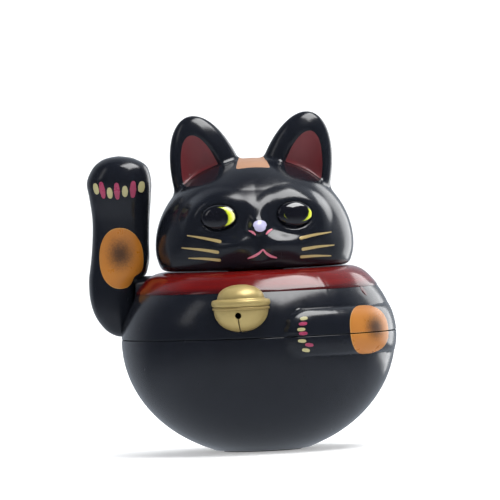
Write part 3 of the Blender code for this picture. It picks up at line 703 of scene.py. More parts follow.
def collarColour(tree, colour, place):
    # darker low edge, brushed streaks round the neck
    height = addNode(tree, "SeparateXYZ", {0: place}).outputs[2]
    low = ramp(tree, height, (collarLook["foot"] + 1.5) * mm, (collarLook["foot"] + 0.2) * mm)
    streaks = addNode(tree, "Mapping", {"Vector": place, "Scale": (60, 60, 2600)})
    darkened = ramp(tree, noise(tree, streaks.outputs[0], 1.0, 5.0), 0.42, 0.7)
    colour = mixColour(tree, maths(tree, "MULTIPLY", darkened, 0.45), colour, collarLook["streak"])
    return mixColour(tree, maths(tree, "MULTIPLY", low, 0.85), colour, collarLook["shadow"])


def collarLine(points):
    radius = np.hypot(points[..., 0], points[..., 1])
    outer = radius > bodyRadius(points[..., 2]) - 0.1
    return pushedOut(points, radius, mouldLine(np.arctan2(points[..., 0], -points[..., 1])) * outer)


def buildCollar():
    b, c = bodyShape, collarLook
    line = np.array(shoulderCurve(c["foot"], 24))
    run = np.gradient(line, axis=0)
    side = np.stack([run[:, 1], -run[:, 0]], 1) / np.linalg.norm(run, axis=1)[:, None]
    lift = c["lift"] * np.sqrt(np.clip(0.15 + (line[:, 1:] - c["foot"]) / 0.4, 0, 1))
    out = [tuple(p) for p in line + side * lift]
    over = denseLine([out[-1], (c["hole"], b["shoulder"] + 0.06)], 1.0)
    back = [tuple(p) for p in (line - side * 0.3)[::-3]]
    profile = out + over[1:] + [(c["hole"], b["shoulder"] - 0.2)] + back
    finish = surface("collarRed", paints["paint_red"], collarColour)
    band = lathe("collar_form", profile, c["columns"], finish, closed=True, shape=collarLine)
    carve(band, shoulderRod(shoulder["pocket"], 31, shoulder["face"] - 0.1, 192))
    carve(band, shoulderRod(shoulder["boss"] + 0.1, 31, shoulder["bossEnd"]))
    band.name = "collar"
    return settle(band, "body", "paint_red")


collar = buildCollar()
upper.name, lower.name = "upper_body", "lower_body"
print("collar done")


headLook = {
    "half": (18.8, 16.6), "rise": 16.5, "fullDrop": 12.6, "equator": 39.0, "floor": 34.6, "edge": 1.1,
    "wall": 1.8, "turn": 9.5, "grid": 0.3, "partGap": 0.05, "neck": 5.3, "neckTop": 38.0,
    "earHalf": (7.1, 3.6, 13.95), "earMiddle": 50.0, "earBack": -0.3, "earJoin": 1.1,
    "earSpread": 8.8, "earLean": 0.22, "leanFrom": 55.0,
    "cupHalf": (4.75, 3.3, 12.2), "cupMiddle": (1.2, -4.0, 49.6), "cupSoft": 0.7,
    "gridLow": (-20.0, -19.5, 33.7), "gridHigh": (20.0, 17.6, 65.2),
    "faceDepth": (3.0, 9.0), "faceEdge": (13.5, 17.5),
    "crease": 0.35, "creaseAt": 39.6, "creaseWide": 0.9,
    "bridge": 1.25, "bridgeWide": 1.6, "bridgeFoot": (41.0, 43.4), "bridgeTop": 49.5,
}
faceBumps = {
    # how far it stands out, its middle across and up, its half size
    "muzzle": (1.6, (3.9, 39.3), (4.6, 2.6)),
    "chin": (0.4, (0.0, 35.6), (3.2, 1.5)),
    "nose": (0.75, (0.0, 42.5), (1.7, 1.3)),
    "brow": (0.6, (7.0, 49.8), (4.8, 2.0)),
    "cheek": (0.5, (11.5, 40.8), (3.6, 2.4)),
}
eyeLook = {"spread": 7.1, "height": 44.7, "surface": 14.4, "half": (3.4, 2.42), "dome": 1.45,
           "depth": 2.6, "outward": 13.0, "upward": 7.0, "gap": 0.04, "room": 1.2,
           "lid": 0.3, "lidAt": 1.28, "lidWide": 0.17, "lift": 0.14, "settle": (0.9, 2.5), "columns": 72}
headTurn = Matrix.Rotation(radians(headLook["turn"]), 4, "Z")


def eyeFrame(side):
    # the eye's own axes as columns: across, up, out of the face
    e = eyeLook
    aside = Matrix.Rotation(side * radians(e["outward"]), 3, "Z")
    upward = Matrix.Rotation(-radians(e["upward"]), 3, "X")
    axes = aside @ upward @ Matrix(((1, 0, 0), (0, 0, -1), (0, 1, 0)))
    return np.array(axes), np.array((side * e["spread"], -e["surface"], e["height"]))


def eyeRoom(x, y, z, side):
    axes, middle = eyeFrame(side)
    place = [x - middle[0], y - middle[1], z - middle[2]]
    u, v, w = (sum(axes[k][c] * place[k] for k in range(3)) for c in range(3))
    e = eyeLook
    wide, high = e["half"][0] + e["gap"], e["half"][1] + e["gap"]
    reach = np.sqrt((u / wide) ** 2 + (v / high) ** 2) + 1e-9
    slope = np.sqrt((u / wide ** 2) ** 2 + (v / high ** 2) ** 2) + 1e-9
    return np.maximum(reach * (reach - 1) / slope, -w - e["depth"] - e["room"]), reach, v, w


def faceRelief(x, z):
    # how far the face stands out of the plain skull
    h = headLook
    across = np.abs(x)
    groove = np.exp(-(across / h["creaseWide"]) ** 2) * hump(np.abs(z - h["creaseAt"]), 0.4, 2.2)
    spread = h["bridgeWide"] + 0.25 * np.clip(z - 44.0, 0, 8)
    falling = softMin(np.clip((h["bridgeTop"] - z) / 6.0, 0, 2), 1.0 + 0 * z, 0.3)
    ridge = np.exp(-(across / spread) ** 4) * smoothStep(*h["bridgeFoot"], z) * falling
    out = h["bridge"] * ridge - h["crease"] * groove
    for rise, (aside, up), (wide, high) in faceBumps.values():
        out = out + rise * np.exp(-((across - aside) / wide) ** 2 - ((z - up) / high) ** 2)
    return out


def headField(x, y, z):
    h = headLook
    tall = np.where(z > h["equator"], h["rise"], h["fullDrop"])
    skull = ellipsoid(x, y, z, (0, 0, h["equator"]), (*h["half"], tall))
    facing = smoothStep(*h["faceDepth"], -y) * smoothStep(h["floor"], h["floor"] + 1.6, z)
    relief = faceRelief(x, z) * facing * hump(np.abs(x), *h["faceEdge"])
    whole = skull - relief
    rooms = [eyeRoom(x, y, z, side) for side in (-1, 1)]
    e = eyeLook
    for _, reach, v, w in rooms:
        # the skin settles to the eye's rim, with a thin lid under it
        lid = e["lid"] * np.exp(-((reach - e["lidAt"]) / e["lidWide"]) ** 2) * smoothStep(-0.6, -2.2, v)
        near = hump(reach, *e["settle"]) * smoothStep(4.0, 8.0, -y)
        whole = whole * (1 - near) + (w - e["lift"] - lid) * near
    side = np.abs(x)
    spread = h["earSpread"] + h["earLean"] * (z - h["leanFrom"])
    ear = ellipsoid(side, y, z, (spread, h["earBack"], h["earMiddle"]), h["earHalf"])
    cup = h["cupMiddle"]
    hollow = ellipsoid(side, y, z, (spread + cup[0], cup[1], cup[2]), h["cupHalf"])
    ear = softMax(ear, -hollow, h["cupSoft"])
    whole = softMin(whole, ear, h["earJoin"])
    whole = softMax(whole, h["floor"] - z, h["edge"])
    wall = h["wall"]
    thinner = (h["half"][0] - wall, h["half"][1] - wall, tall - wall)
    inner = ellipsoid(x, y, z, (0, 0, h["equator"]), thinner)
    inner = softMax(inner, h["floor"] + wall - 0.2 - z, 0.8)
    whole = softMax(whole, -inner, 0.3)
    neck = np.maximum(np.hypot(x, y) - h["neck"], z - h["neckTop"])
    whole = softMax(whole, -neck, 0.3)
    for room, _, _, _ in rooms:
        whole = softMax(whole, -room, 0.2)
    return whole


def buildHead():
    h = headLook
    step = h["grid"] * 1.0
    points, faces = skin(headField, h["gridLow"], h["gridHigh"], step)
    whole = makePiece("head_form", points, [tuple(int(i) for i in f) for f in faces], black)
    whole.data.shade_smooth()
    tree = casting(whole)
    half(whole, "face_shell", True, h["partGap"], shinyBlack, "head", "head_front_shell", headTurn)
    half(whole, "back_of_head", False, h["partGap"], shinyBlack, "head", "head_back_shell", headTurn)
    bpy.data.objects.remove(whole, do_unlink=True)
    return tree


headTree = buildHead()
print("head done")


eyePaint = {
    "colour": (0.62, 0.66, 0.035), "inner": (0.3, 0.36, 0.02), "rim": (0.9, 0.88, 0.35),
    "pupil": (0.004, 0.004, 0.006), "grainScale": 1500.0,
    "pupilHalf": {-1: (2.45, 2.2), 1: (2.55, 2.25)}, "pupilAt": {-1: (-0.4, -0.3), 1: (0.1, 0.45)},
    "irisHalf": {-1: (2.65, 1.85), 1: (2.8, 1.5)}, "irisAt": {-1: (0.45, -0.05), 1: (0.52, -0.05)},
}


def eyeFinish(side):
    e = eyePaint
    made, tree, shader = newMaterial("eye" + ("Right" if side < 0 else "Left"))
    x, y, _ = flatParts(tree)
    grain = noise(tree, addNode(tree, "TexCoord").outputs["Object"], e["grainScale"], 4.0)
    iris = ragged(tree, ovalFrom(tree, x, y, e["irisAt"][side], e["irisHalf"][side]), grain, 0.1)
    pupil = ragged(tree, ovalFrom(tree, x, y, e["pupilAt"][side], e["pupilHalf"][side]), grain, 0.1)
    colour = mixColour(tree, ramp(tree, pupil, 0.95, 1.2), e["inner"], e["colour"])
    colour = mixColour(tree, ramp(tree, pupil, 1.15, 1.4), colour, e["rim"])
    colour = mixColour(tree, ramp(tree, pupil, 1.0, 0.93), colour, e["pupil"])
    colour = mixColour(tree, ramp(tree, iris, 0.96, 1.04), colour, e["pupil"])
    tree.links.new(colour, shader.inputs["Base Color"])
    tree.links.new(ramp(tree, grain, 0.3, 0.7, 0.06, 0.14), shader.inputs["Roughness"])
    bumps = addNode(tree, "Bump", {"Strength": 0.2, "Distance": 0.01 * mm, "Height": grain})
    tree.links.new(bumps.outputs[0], shader.inputs["Normal"])
    shader.inputs["Coat Weight"].default_value = 0.6
    return made


def buildEye(side, name, node):
    # a domed oval button, with its flat place stored for the paint
    e = eyeLook
    axes, middle = eyeFrame(side)
    rings = [(s, e["dome"] * sqrt(1 - s * s)) for s in np.sin(np.linspace(0, pi / 2, 22))]
    rings += [(1.0, -0.4), (1.0, -0.9), (1.0, -1.6), (0.98, 0.1 - e["depth"])]
    rings += [(share, -e["depth"]) for share in (0.9, 0.45, 0.0)]
    points, flat = [], []
    for share, height in rings:
        for k in range(e["columns"]):
            angle = 2 * pi * k / e["columns"]
            u, v = e["half"][0] * share * cos(angle), e["half"][1] * share * sin(angle)
            points.append(middle + axes @ np.array((u, v, height)))
            flat.append((u, v, height))
    points = [headTurn @ Vector(p) for p in points]
    obj = flatPiece(name, points, ringFaces(len(rings), e["columns"]), flat, eyeFinish(side))
    return settle(obj, "head", "eye_enamel", [node])


def flatPiece(name, points, faces, flat, finish):
    # a mesh that remembers where each point lies on its flat drawing
    mesh = bpy.data.meshes.new(name)
    mesh.from_pydata([tuple(float(c) * mm for c in p) for p in points], [], faces)
    kept = mesh.attributes.new("flat", "FLOAT_VECTOR", "POINT")
    kept.data.foreach_set("vector", np.array(flat, np.float32).ravel())
    mesh.materials.append(finish)
    cleaned(mesh)
    return linked(name, mesh)


buildEye(-1, "eye_right_button", "eye_right")
buildEye(1, "eye_left_button", "eye_left")
print("eyes done")


armLook = {
    # height, outer side, inner side, half depth, lean to the front
    "sections": (
        (22.6, 26.8, 25.4, 0.8, 0.0), (23.2, 28.0, 24.4, 2.2, 0.0), (24.3, 29.2, 23.4, 3.3, 0.0),
        (26.6, 30.7, 22.9, 4.3, 0.0), (30.0, 31.6, 22.9, 4.7, 0.0), (32.4, 31.7, 22.6, 4.7, 0.0),
        (34.2, 31.6, 21.1, 4.6, 0.0), (36.0, 31.3, 20.5, 4.5, 0.0), (41.0, 30.7, 20.2, 4.2, 0.0),
        (45.0, 30.5, 19.9, 4.3, 0.3), (49.0, 30.8, 19.4, 4.8, 0.9), (52.2, 31.1, 19.2, 5.0, 1.2),
        (54.6, 30.0, 19.8, 4.3, 1.2), (56.2, 28.2, 22.0, 3.0, 1.0), (56.8, 26.2, 24.4, 1.2, 0.8),
    ),
    "columns": 128, "rows": 150, "partGap": 0.05, "square": 2.15, "fuller": 0.3,
    "startAt": 26.1, "endAt": 25.3, "cavityFoot": 37.0, "cavityTop": 54.6, "cavityWall": 1.5,
    "bossRoom": (4.7, 22.9, 17.0), "axleBore": (1.8, 28.8, 22.0),
}


def armForm():
    # a smooth run through the sections, closed to a point at both ends
    a = armLook
    first, last = a["sections"][0], a["sections"][-1]
    start = (first[0] - 0.1, a["startAt"], a["startAt"], 0.0, 0.0)
    end = (last[0] + 0.1, a["endAt"], a["endAt"], 0.0, last[4])
    path = np.array([start, *a["sections"], end], float)
    lengths = np.concatenate([[0], np.cumsum(np.linalg.norm(np.diff(path[:, :4], axis=0), axis=1))])
    fine = smoothPath(path, lengths, np.linspace(0, lengths[-1], a["rows"]))
    points, count = [], a["columns"]
    for height, outer, inner, depth, lean in fine:
        outer += a["fuller"] * min(1, depth / 3)
        for k in range(count):
            turn = 2 * pi * k / count
            c, s = cos(turn), sin(turn)
            reach = (abs(c) ** a["square"] + abs(s) ** a["square"]) ** (-1 / a["square"])
            across = -(outer + inner) / 2 + (outer - inner) / 2 * c * reach
            points.append((across, -lean + depth * s * reach, height))
    form = makePiece("arm_form", points, ringFaces(len(fine), count), black)
    cleaned(form.data, joinPoints=False)
    return form


def armCavity():
    # the hollow of the upper arm, flat at both ends
    a = armLook
    inside = [s for s in a["sections"] if a["cavityFoot"] < s[0] <= a["cavityTop"]]
    rows = [(a["cavityFoot"], *inside[0][1:])] + inside
    points, count = [], 40
    for number, (height, outer, inner, depth, lean) in enumerate(rows):
        thin = a["cavityWall"] * (2 if number == len(rows) - 1 else 1)
        wide = (outer - inner) / 2 - thin
        for k in range(count):
            turn = 2 * pi * k / count
            across = -(outer + inner) / 2 + wide * cos(turn)
            points.append((across, -lean + (depth - thin) * sin(turn), height))
    ends = [tuple(reversed(range(count))), tuple(range((len(rows) - 1) * count, len(rows) * count))]
    return makePiece("arm_cavity", points, ends + ringFaces(len(rows), count), None)


def buildArm():
    form = armForm()
    tree = casting(form)
    carve(form, armCavity())
    carve(form, shoulderRod(*armLook["bossRoom"]))
    carve(form, shoulderRod(*armLook["axleBore"], 48))
    half(form, "arm_palm_shell", True, armLook["partGap"], black, "raised_arm", "arm_front_shell")
    half(form, "arm_rear_shell", False, armLook["partGap"], black, "raised_arm", "arm_back_shell")
    bpy.data.objects.remove(form, do_unlink=True)
    return tree


armTree = buildArm()
print("arm done")


bellLook = {
    "axis": 24.8, "foot": 23.2, "top": 32.1, "bowl": 5.1, "bowlTop": 27.35, "cap": 4.4, "capFoot": 29.46,
    "wall": 0.8, "columns": 144, "hole": 0.6, "holeHeight": 26.4, "slot": 0.2, "cutFrom": -36,
    "ribs": ((27.42, 27.98, 5.08, 0.3, 7), (28.08, 29.3, 5.1, 0.42, 10)),
    "shelf": [(4.75, 29.38), (4.5, 29.44)],
    # groove and shade place the painted shade in the bell's grooves and underside; the last colour is that
    # painted shade
    "groove": (27.3, 27.42, 28.12, 27.98), "shade": (25.2, 23.2), "darkened": (0.2, 0.13, 0.04),
}


def ribProfile(low, high, base, rise, count):
    # a rounded rib as (radius, height) points
    line = []
    for turn in np.linspace(0, pi, count):
        radius = base + rise * sin(turn) ** 0.8 if 0 < turn < pi else base
        line.append((radius, low + (high - low) * (1 - cos(turn)) / 2))
    return line


def buildBell():
    b = bellLook
    tall = b["bowlTop"] - b["foot"]
    profile = [(0, b["foot"])]
    for a in np.linspace(0.02, pi / 2, 34):
        profile.append((b["bowl"] * sin(a) ** 0.94, b["bowlTop"] - tall * cos(a)))
    for rib in b["ribs"]:
        profile += ribProfile(*rib)
    profile += b["shelf"]
    for a in np.linspace(0.04, pi / 2, 26):
        radius = b["cap"] * cos(a) ** 0.9 if a < pi / 2 - 1e-6 else 0
        profile.append((radius, b["capFoot"] + (b["top"] - b["capFoot"]) * sin(a)))
    finish = surface("bellGold", paints["bell_gold"], bellPaintedShade)
    bell = lathe("bell_form", profile, b["columns"], finish)
    inner = b["bowl"] - b["wall"]
    hollow = [(0, b["foot"] + b["wall"])]
    for a in np.linspace(0.1, pi / 2, 14):
        hollow.append((inner * sin(a), b["bowlTop"] - (tall - b["wall"]) * cos(a)))
    hollow.append((0, b["bowlTop"]))
    carve(bell, lathe("bell_hollow", hollow, 72))
    s = bodyShape
    curve = arcPoints(s["equator"], s["radius"] + 0.3, s["rise"] + 0.3, 18.5, 38.0, 40)
    seat = [(0, 18.0)] + curve + [(0, 38.0)]
    bell.data.transform(Matrix.Translation((0, -b["axis"] * mm, 0)))
    carve(bell, lathe("bell_seat", seat, 288))
    front, up, wide = b["cutFrom"], b["holeHeight"], b["slot"] / 2
    carve(bell, rodPiece("tool", b["hole"], (0, front, up), (0, -b["axis"] - 1, up)))
    carve(bell, boxPiece("tool", (-wide, front, 22), (wide, -b["axis"] - 0.5, up)))
    carve(bell, pegRod(peg["radius"], peg["front"]), "UNION")
    bell.name = "jingle_bell"
    settle(bell, "body", "bell_gold", ["bell"], sharp=32)


def bellPaintedShade(tree, colour, place):
    # painted shade: darker in the grooves and towards the underside
    height = addNode(tree, "SeparateXYZ", {0: place}).outputs[2]
    limits = [level * mm for level in bellLook["groove"]]
    groove = maths(tree, "MULTIPLY", ramp(tree, height, *limits[:2]), ramp(tree, height, *limits[2:]))
    low = ramp(tree, height, *[level * mm for level in bellLook["shade"]])
    groove, low = maths(tree, "MULTIPLY", groove, 0.35), maths(tree, "MULTIPLY", low, 0.5)
    return mixColour(tree, maths(tree, "MAXIMUM", groove, low), colour, bellLook["darkened"])


buildBell()
print("bell done")


def onFace(x, z):
    return dropOn(headTree, (x, -30, z), (0, 1, 0))


def onCrown(x, y):
    return dropOn(headTree, (x, y, 75), (0, 0, -1))


def onPalm(x, z):
    return dropOn(armTree, (x, -12, z), (0, 1, 0))


def onBody(turn, height):
    # turn in degrees from the front towards the moulded arm
    a = radians(turn)
    out = (sin(a), -cos(a), 0)
    return dropOn(bodyTree, (out[0] * 35, out[1] * 35, height), (-out[0], -out[1], 0))


bodyTree = casting(upper, lower)
gold = surface("whiskerGold", paints["paint_gold"])
cream = surface("clawCream", paints["paint_cream"])
pink = surface("padPink", paints["paint_pink"])
rose = surface("mouthRose", paints["paint_rose"])
white = surface("noseWhite", paints["paint_white"])
tan = surface("crownTan", paints["paint_tan"])

facePaint = {
    # points across and up, then half widths along the line
    "whisker_right_top": ([(-6.9, 40.1), (-10.0, 40.85), (-13.2, 41.5)], (0.33, 0.26, 0.1)),
    "whisker_right_middle": ([(-7.4, 38.1), (-10.8, 38.75), (-14.3, 39.2)], (0.33, 0.26, 0.1)),
    "whisker_right_low": ([(-7.1, 36.6), (-10.0, 37.0), (-13.1, 37.2)], (0.3, 0.24, 0.1)),
    "whisker_left_top": ([(7.8, 40.1), (10.9, 40.65), (14.1, 41.0)], (0.33, 0.26, 0.1)),
    "whisker_left_middle": ([(8.1, 38.0), (11.3, 38.35), (14.6, 38.5)], (0.33, 0.26, 0.1)),
    "whisker_left_low": ([(7.8, 36.6), (10.8, 36.65), (13.9, 36.5)], (0.3, 0.24, 0.1)),
}
mouthPaint = {
    "mouth_right": ([(0.8, 38.4), (0.2, 37.8), (-0.75, 37.25), (-2.15, 36.75)], (0.12, 0.24, 0.25, 0.1)),
    "mouth_left": ([(0.8, 38.4), (1.25, 37.75), (2.0, 37.15), (3.4, 36.65)], (0.12, 0.24, 0.25, 0.1)),
    "nostril_right": ([(-1.75, 42.0), (-1.1, 41.7), (-0.45, 41.1)], (0.1, 0.24, 0.12)),
    "nostril_left": ([(2.75, 42.1), (2.1, 41.75), (1.45, 41.15)], (0.1, 0.24, 0.12)),
}
noseLook = {"middle": (0.4, 42.75), "half": (1.3, 1.05), "power": 2.4, "pinch": 0.14}
headHold = {"turn": headTurn, "body": "head"}
for name, (path, widths) in facePaint.items():
    film(name, strokeRows(path, widths), onFace, 0.07, gold, slot="paint_gold", **headHold)
for name, (path, widths) in mouthPaint.items():
    film(name, strokeRows(path, widths), onFace, 0.06, rose, slot="paint_pink", **headHold)


def noseReach(angle):
    # an oval, narrower below its middle
    n = noseLook
    narrow = n["pinch"] * abs(cos(angle)) * (sin(angle) < 0)
    return ovalReach(*n["half"], n["power"])(angle) * (1 - narrow)


noseRows = patchRows(noseLook["middle"], noseReach)
film("nose_paint", noseRows, onFace, 0.09, white, slot="paint_white", **headHold)

crownLook = {"halfWide": 3.3, "front": -7.6, "back": 4.5, "taper": 1.1, "taperPace": 1.6, "endPace": 14}


def buildCrownMark():
    c = crownLook
    rows = []
    for depth in np.linspace(c["front"], c["back"], 36):
        share = (depth - c["front"]) / (c["back"] - c["front"])
        ends = min(1, c["endPace"] * min(share, 1 - share) + 0.5) ** 0.5
        wide = (c["halfWide"] - c["taper"] * min(1, share * c["taperPace"])) * ends
        rows.append([(wide * u, depth) for u in np.sin(np.linspace(-pi / 2, pi / 2, 25))])
    film("crown_mark", rows, onCrown, 0.05, tan, slot="paint_tan", **headHold)


buildCrownMark()


def marchedReach(inside, middle, far=14.0):
    # how far an outline lies from its middle at an angle
    def reach(angle):
        steps = np.linspace(0, far, 500)
        out = (t for t in steps if not inside(middle[0] + t * cos(angle), middle[1] + t * sin(angle)))
        return max(0.02, next(out, far))
    return reach


earPaint = {
    "half": (4.3, 11.6), "middle": 49.5, "aside": 1.2, "share": 0.93, "start": (10.2, 55.5), "above": 0.1,
    "fade": 0.16, "dark": (0.012, 0.007, 0.008),
    "colour": (0.14, 0.018, 0.022), "tint": (0.1, 0.013, 0.016), "rough": (0.3, 0.45),
}


def earRed(tree, colour, place):
    # sprayed: dull red that thins to black at its edge
    near = ragged(tree, flatParts(tree)[2], noise(tree, place, 900.0, 5.0), 0.12)
    return mixColour(tree, ramp(tree, near, earPaint["fade"], 0.0), colour, earPaint["dark"])


def earInside(x, z):
    h, e = headLook, earPaint
    middle = h["earSpread"] + h["earLean"] * (z - h["leanFrom"]) + e["aside"]
    oval = ((x - middle) / e["half"][0]) ** 2 + ((z - e["middle"]) / e["half"][1]) ** 2
    skull = 1 - (x / h["half"][0]) ** 2 - (1.5 / h["half"][1]) ** 2
    return oval < e["share"] ** 2 and z > h["equator"] + h["rise"] * sqrt(max(0.0, skull)) + e["above"]


earFinish = surface("earRed", {**paints["paint_red"], **earPaint}, earRed)
earReach = marchedReach(earInside, earPaint["start"])
for side, name in ((-1, "ear_paint_right"), (1, "ear_paint_left")):
    rows = [[(side * x, z) for x, z in row] for row in patchRows(earPaint["start"], earReach, 25, 33)]
    film(name, rows, onFace, 0.03, earFinish, slot="paint_red", **headHold)

palmPaint = {
    # middle and lean in degrees of each mark, then half length and half widths
    "claw": [((-29.2, 50.9), 12), ((-26.5, 50.0), 3), ((-23.6, 50.2), -3), ((-20.6, 50.9), -10)],
    "pad": [((-27.95, 50.6), 8), ((-25.1, 50.3), 0), ((-22.1, 50.5), -6)],
    "clawSize": (1.05, (0.45, 0.6, 0.42)), "padSize": (1.6, (0.35, 0.62, 0.4)),
}
pawKinds = {"claw": (0.1, cream, "paint_cream"), "pad": (0.08, pink, "paint_pink")}


def slanted(middle, lean, half):
    dx = sin(radians(-lean)) * half
    return [(middle[0] - dx, middle[1] - half), middle, (middle[0] + dx, middle[1] + half)]


def lying(middle, lean, half):
    dz = sin(radians(lean)) * half
    return [(middle[0] - half, middle[1] - dz), middle, (middle[0] + half, middle[1] + dz)]


def pawMarks(prefix, paw, line, place, body):
    # the claws and pads of one paw, each a short fat stroke
    for kind, (thick, finish, slot) in pawKinds.items():
        half, widths = paw[kind + "Size"]
        for number, (middle, lean) in enumerate(paw[kind], 1):
            rows = strokeRows(line(middle, lean, half), widths)
            film(f"{prefix}_{kind}_{number}", rows, place, thick, finish, slot=slot, body=body)


pawMarks("raised", palmPaint, slanted, onPalm, "raised_arm")

patchLook = {"colour": (0.37, 0.14, 0.018), "tint": (0.29, 0.1, 0.013), "rim": (0.46, 0.24, 0.06),
             "centre": (0.05, 0.024, 0.012), "rough": (0.26, 0.4), "grain": 0.4, "grainScale": 1200.0}


def patchFinish(name, spot, half):
    # orange paint with a lighter rim and a sprayed dark centre
    def colourOf(tree, colour, place):
        x, y, inside = flatParts(tree)
        near = ragged(tree, ovalFrom(tree, x, y, spot, half), noise(tree, place, 3200.0, 6.0), 0.7)
        colour = mixColour(tree, ramp(tree, inside, 0.2, 0.03), colour, patchLook["rim"])
        dark = maths(tree, "MULTIPLY", ramp(tree, near, 1.15, 0.1), 0.95)
        return mixColour(tree, dark, colour, patchLook["centre"])
    return surface(name, patchLook, colourOf)


palmOrange = patchFinish("armOrange", (-25.2, 38.3), (3.1, 3.6))
palmPatch = {"middle": (-25.2, 37.5), "half": (4.15, 5.8), "power": 2.15,
             "clear": 0.17, "clearAt": -57.0, "clearWide": 16.0}


def palmReach(angle):
    # an oval, flattened where the arm is cut away round its shoulder
    p = palmPatch
    away = (angle - radians(p["clearAt"])) / radians(p["clearWide"])
    return ovalReach(*p["half"], p["power"])(angle) * (1 - p["clear"] * np.exp(-away ** 2))


palmRows = patchRows(palmPatch["middle"], palmReach, 31, 41)
film("arm_orange_patch", palmRows, onPalm, 0.05, palmOrange, slot="paint_orange", body="raised_arm")


bodyPaint = {
    "armRadius": 27.0, "patchAt": (27.3, 22.5), "patchHalf": (5.9, 4.55), "power": 2.5, "seamRoom": 0.1,
    "claw": [((12.05, 25.3), 8), ((11.3, 23.3), 2), ((11.35, 21.15), -4), ((12.15, 19.4), -12)],
    "pad": [((11.75, 24.35), 5), ((11.6, 22.55), 0), ((12.7, 20.35), -8)],
    "clawSize": (0.75, (0.26, 0.36, 0.26)), "padSize": (0.8, (0.26, 0.38, 0.26)),
    "fleck": ((31.2, 29.7), 20, 0.85), "fleckWidths": (0.6, 0.85, 0.6),
}


def onCoat(along, height):
    return onBody(along / bodyPaint["armRadius"] * 180 / pi, height)


def bandRows(middle, halfSize, power, low, high, across=31, count=22):
    # the part of a rounded patch between two heights
    rows = []
    for height in low + (high - low) * (1 - np.cos(np.linspace(0, pi, count))) / 2:
        share = min(1.0, abs((height - middle[1]) / halfSize[1]))
        wide = max(0.02, halfSize[0] * (1 - share ** power) ** (1 / power))
        rows.append([(middle[0] + wide * u, height) for u in np.sin(np.linspace(-pi / 2, pi / 2, across))])
    return rows


def buildCoatPaint():
    p = bodyPaint
    seam, room = bodyShape["seam"], p["seamRoom"]
    middle, halfSize = p["patchAt"], p["patchHalf"]
    bands = {"body_orange_upper": (seam + room, middle[1] + halfSize[1]),
             "body_orange_lower": (middle[1] - halfSize[1], seam - room)}
    for name, (low, high) in bands.items():
        rows = bandRows(middle, halfSize, p["power"], low, high)
        film(name, rows, onCoat, 0.05, bodyOrange, slot="paint_orange", body="body")
    pawMarks("moulded", p, lying, onCoat, "body")
    rows = strokeRows(slanted(*p["fleck"]), p["fleckWidths"])
    film("red_fleck", rows, onCoat, 0.05, collar.data.materials[0], slot="paint_red", body="body")


bodyOrange = patchFinish("bodyOrange", (28.2, 22.9), (3.6, 2.7))
buildCoatPaint()
print("paint done")


hardware = {
    "zinc_steel": ("shell_screw_1", "shell_screw_2", "shell_screw_3", "ballast_screw", "neck_screw",
                   "shoulder_axle", "shoulder_screw", "bell_clip"),
    "weight_iron": ("ballast_weight",),
    "natural_plastic": ("neck_washer", "shoulder_washer"),
    "foot_rubber": ("base_pad",),
}
for slotName, nodes in hardware.items():
    finish = surface(slotName + "Looks", paints[slotName])
    for name in nodes:
        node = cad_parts[name]
        node.data.materials.clear()
        node.data.materials.append(finish)
print("hardware done")


stageLook = {
    "radius": 1.7, "bend": 0.35, "wall": 1.6, "glow": 0.33,
    "paper": {"colour": (0.86, 0.86, 0.855), "tint": (0.84, 0.84, 0.84), "rough": (0.6, 0.75),
              "scratches": 0.0, "dust": 0.0, "driftScale": 30.0},
    "dim": (0.05, 0.06, 0.085), "bright": (0.42, 0.46, 0.52),
}


def outward(azimuth, elevation):
    # azimuth in degrees from the front towards +X
    a, e = radians(azimuth), radians(elevation)
    return Vector((sin(a) * cos(e), -cos(a) * cos(e), sin(e)))


def buildStage():
    # a pale round sweep: floor, bend and wall
    s = stageLook
    line = [(0.0, 0.0)] + denseLine([(0.02, 0.0), (s["radius"], 0.0)], 0.2)
    for k in range(1, 25):
        turn = pi / 2 * k / 24
        line.append((s["radius"] + s["bend"] * sin(turn), s["bend"] * (1 - cos(turn))))
    line.append((s["radius"] + s["bend"], s["wall"]))
    finish = surface("sweepPaper", s["paper"])
    points, faces = latheMesh([(r / mm, h / mm) for r, h in line], 128)
    sweep = makePiece("sweep", points, faces, finish)
    sweep.data.shade_smooth()
    glow = finish.node_tree.nodes["Principled BSDF"].inputs
    glow["Emission Color"].default_value = (1, 1, 1, 1)
    glow["Emission Strength"].default_value = s["glow"]
    sweep.visible_glossy = False


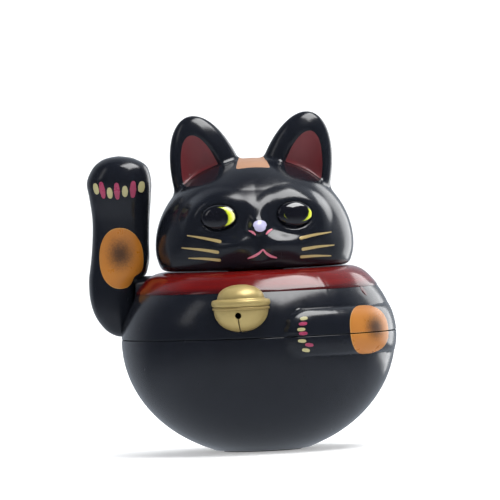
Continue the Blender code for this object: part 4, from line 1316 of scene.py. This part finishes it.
def buildWorld():
    # what the gloss mirrors: a dim room in front, pale paper behind and below
    s = stageLook
    world = bpy.data.worlds.new("studio")
    world.use_nodes = True
    tree = world.node_tree
    parts = addNode(tree, "SeparateXYZ", {0: addNode(tree, "TexCoord").outputs["Generated"]})
    behind = ramp(tree, parts.outputs[1], 0.0, 0.7)
    below = ramp(tree, parts.outputs[2], 0.0, -0.6)
    colour = mixColour(tree, maths(tree, "MAXIMUM", behind, below), s["dim"], s["bright"])
    tree.links.new(colour, tree.nodes["Background"].inputs[0])
    bpy.context.scene.world = world


lamps = {
    # azimuth, elevation, distance, width, height, watts
    "key": (68, 68, 0.5, 0.44, 0.28, 3.5),
    "side": (145, 8, 0.6, 0.3, 0.5, 1.2),
    "fill": (-60, 35, 0.6, 0.1, 0.3, 0.1),
    "over": (180, 80, 1.5, 1.5, 1.5, 9.0),
    "wash": (0, 88, 1.3, 1.2, 0.4, 10.0),
}


def buildLamps():
    middle = Vector((0, 0, 0.034))  # of the figure
    for name, (azimuth, elevation, far, wide, high, watts) in lamps.items():
        out = outward(azimuth, elevation)
        light = bpy.data.lights.new(name, "AREA")
        light.shape = "RECTANGLE"
        light.size, light.size_y = wide, high
        light.energy = watts
        lamp = linked(name, light)
        lamp.location = middle + out * far
        lamp.rotation_mode = "QUATERNION"
        lamp.rotation_quaternion = (-out).to_track_quat("-Z", "Y")
        if name == "wash":  # lights the back wall
            lamp.location = (0, 0.35, 1.0)
            lamp.rotation_quaternion = Vector((0, 0.9, -0.75)).to_track_quat("-Z", "Y")
        lamp.visible_glossy = name not in ("over", "wash")


cameraLook = {"azimuth": 7.0, "elevation": 1.0, "roll": -2.4, "distance": 1.4, "view": 0.095,
              "across": -0.0009, "up": 0.03805}


def buildCamera():
    c = cameraLook
    back = outward(c["azimuth"], c["elevation"])
    right = outward(c["azimuth"] + 90, 0)
    target = right * c["across"] + Vector((0, 0, c["up"]))
    data = bpy.data.cameras.new("camera")
    data.sensor_width = 36.0
    data.lens = 36.0 * c["distance"] / c["view"]
    data.clip_start, data.clip_end = 0.01, 20
    camera = linked("camera", data)
    camera.location = target + back * c["distance"]
    camera.rotation_mode = "QUATERNION"
    roll = Matrix.Rotation(radians(c["roll"]), 4, "Z")
    facing = (-back).to_track_quat("-Z", "Y").to_matrix().to_4x4()
    camera.rotation_quaternion = (facing @ roll).to_quaternion()
    bpy.context.scene.camera = camera


buildStage()
buildWorld()
buildLamps()
buildCamera()
bpy.context.scene.view_settings.view_transform = "Standard"
print("stage, lamps and camera ready")
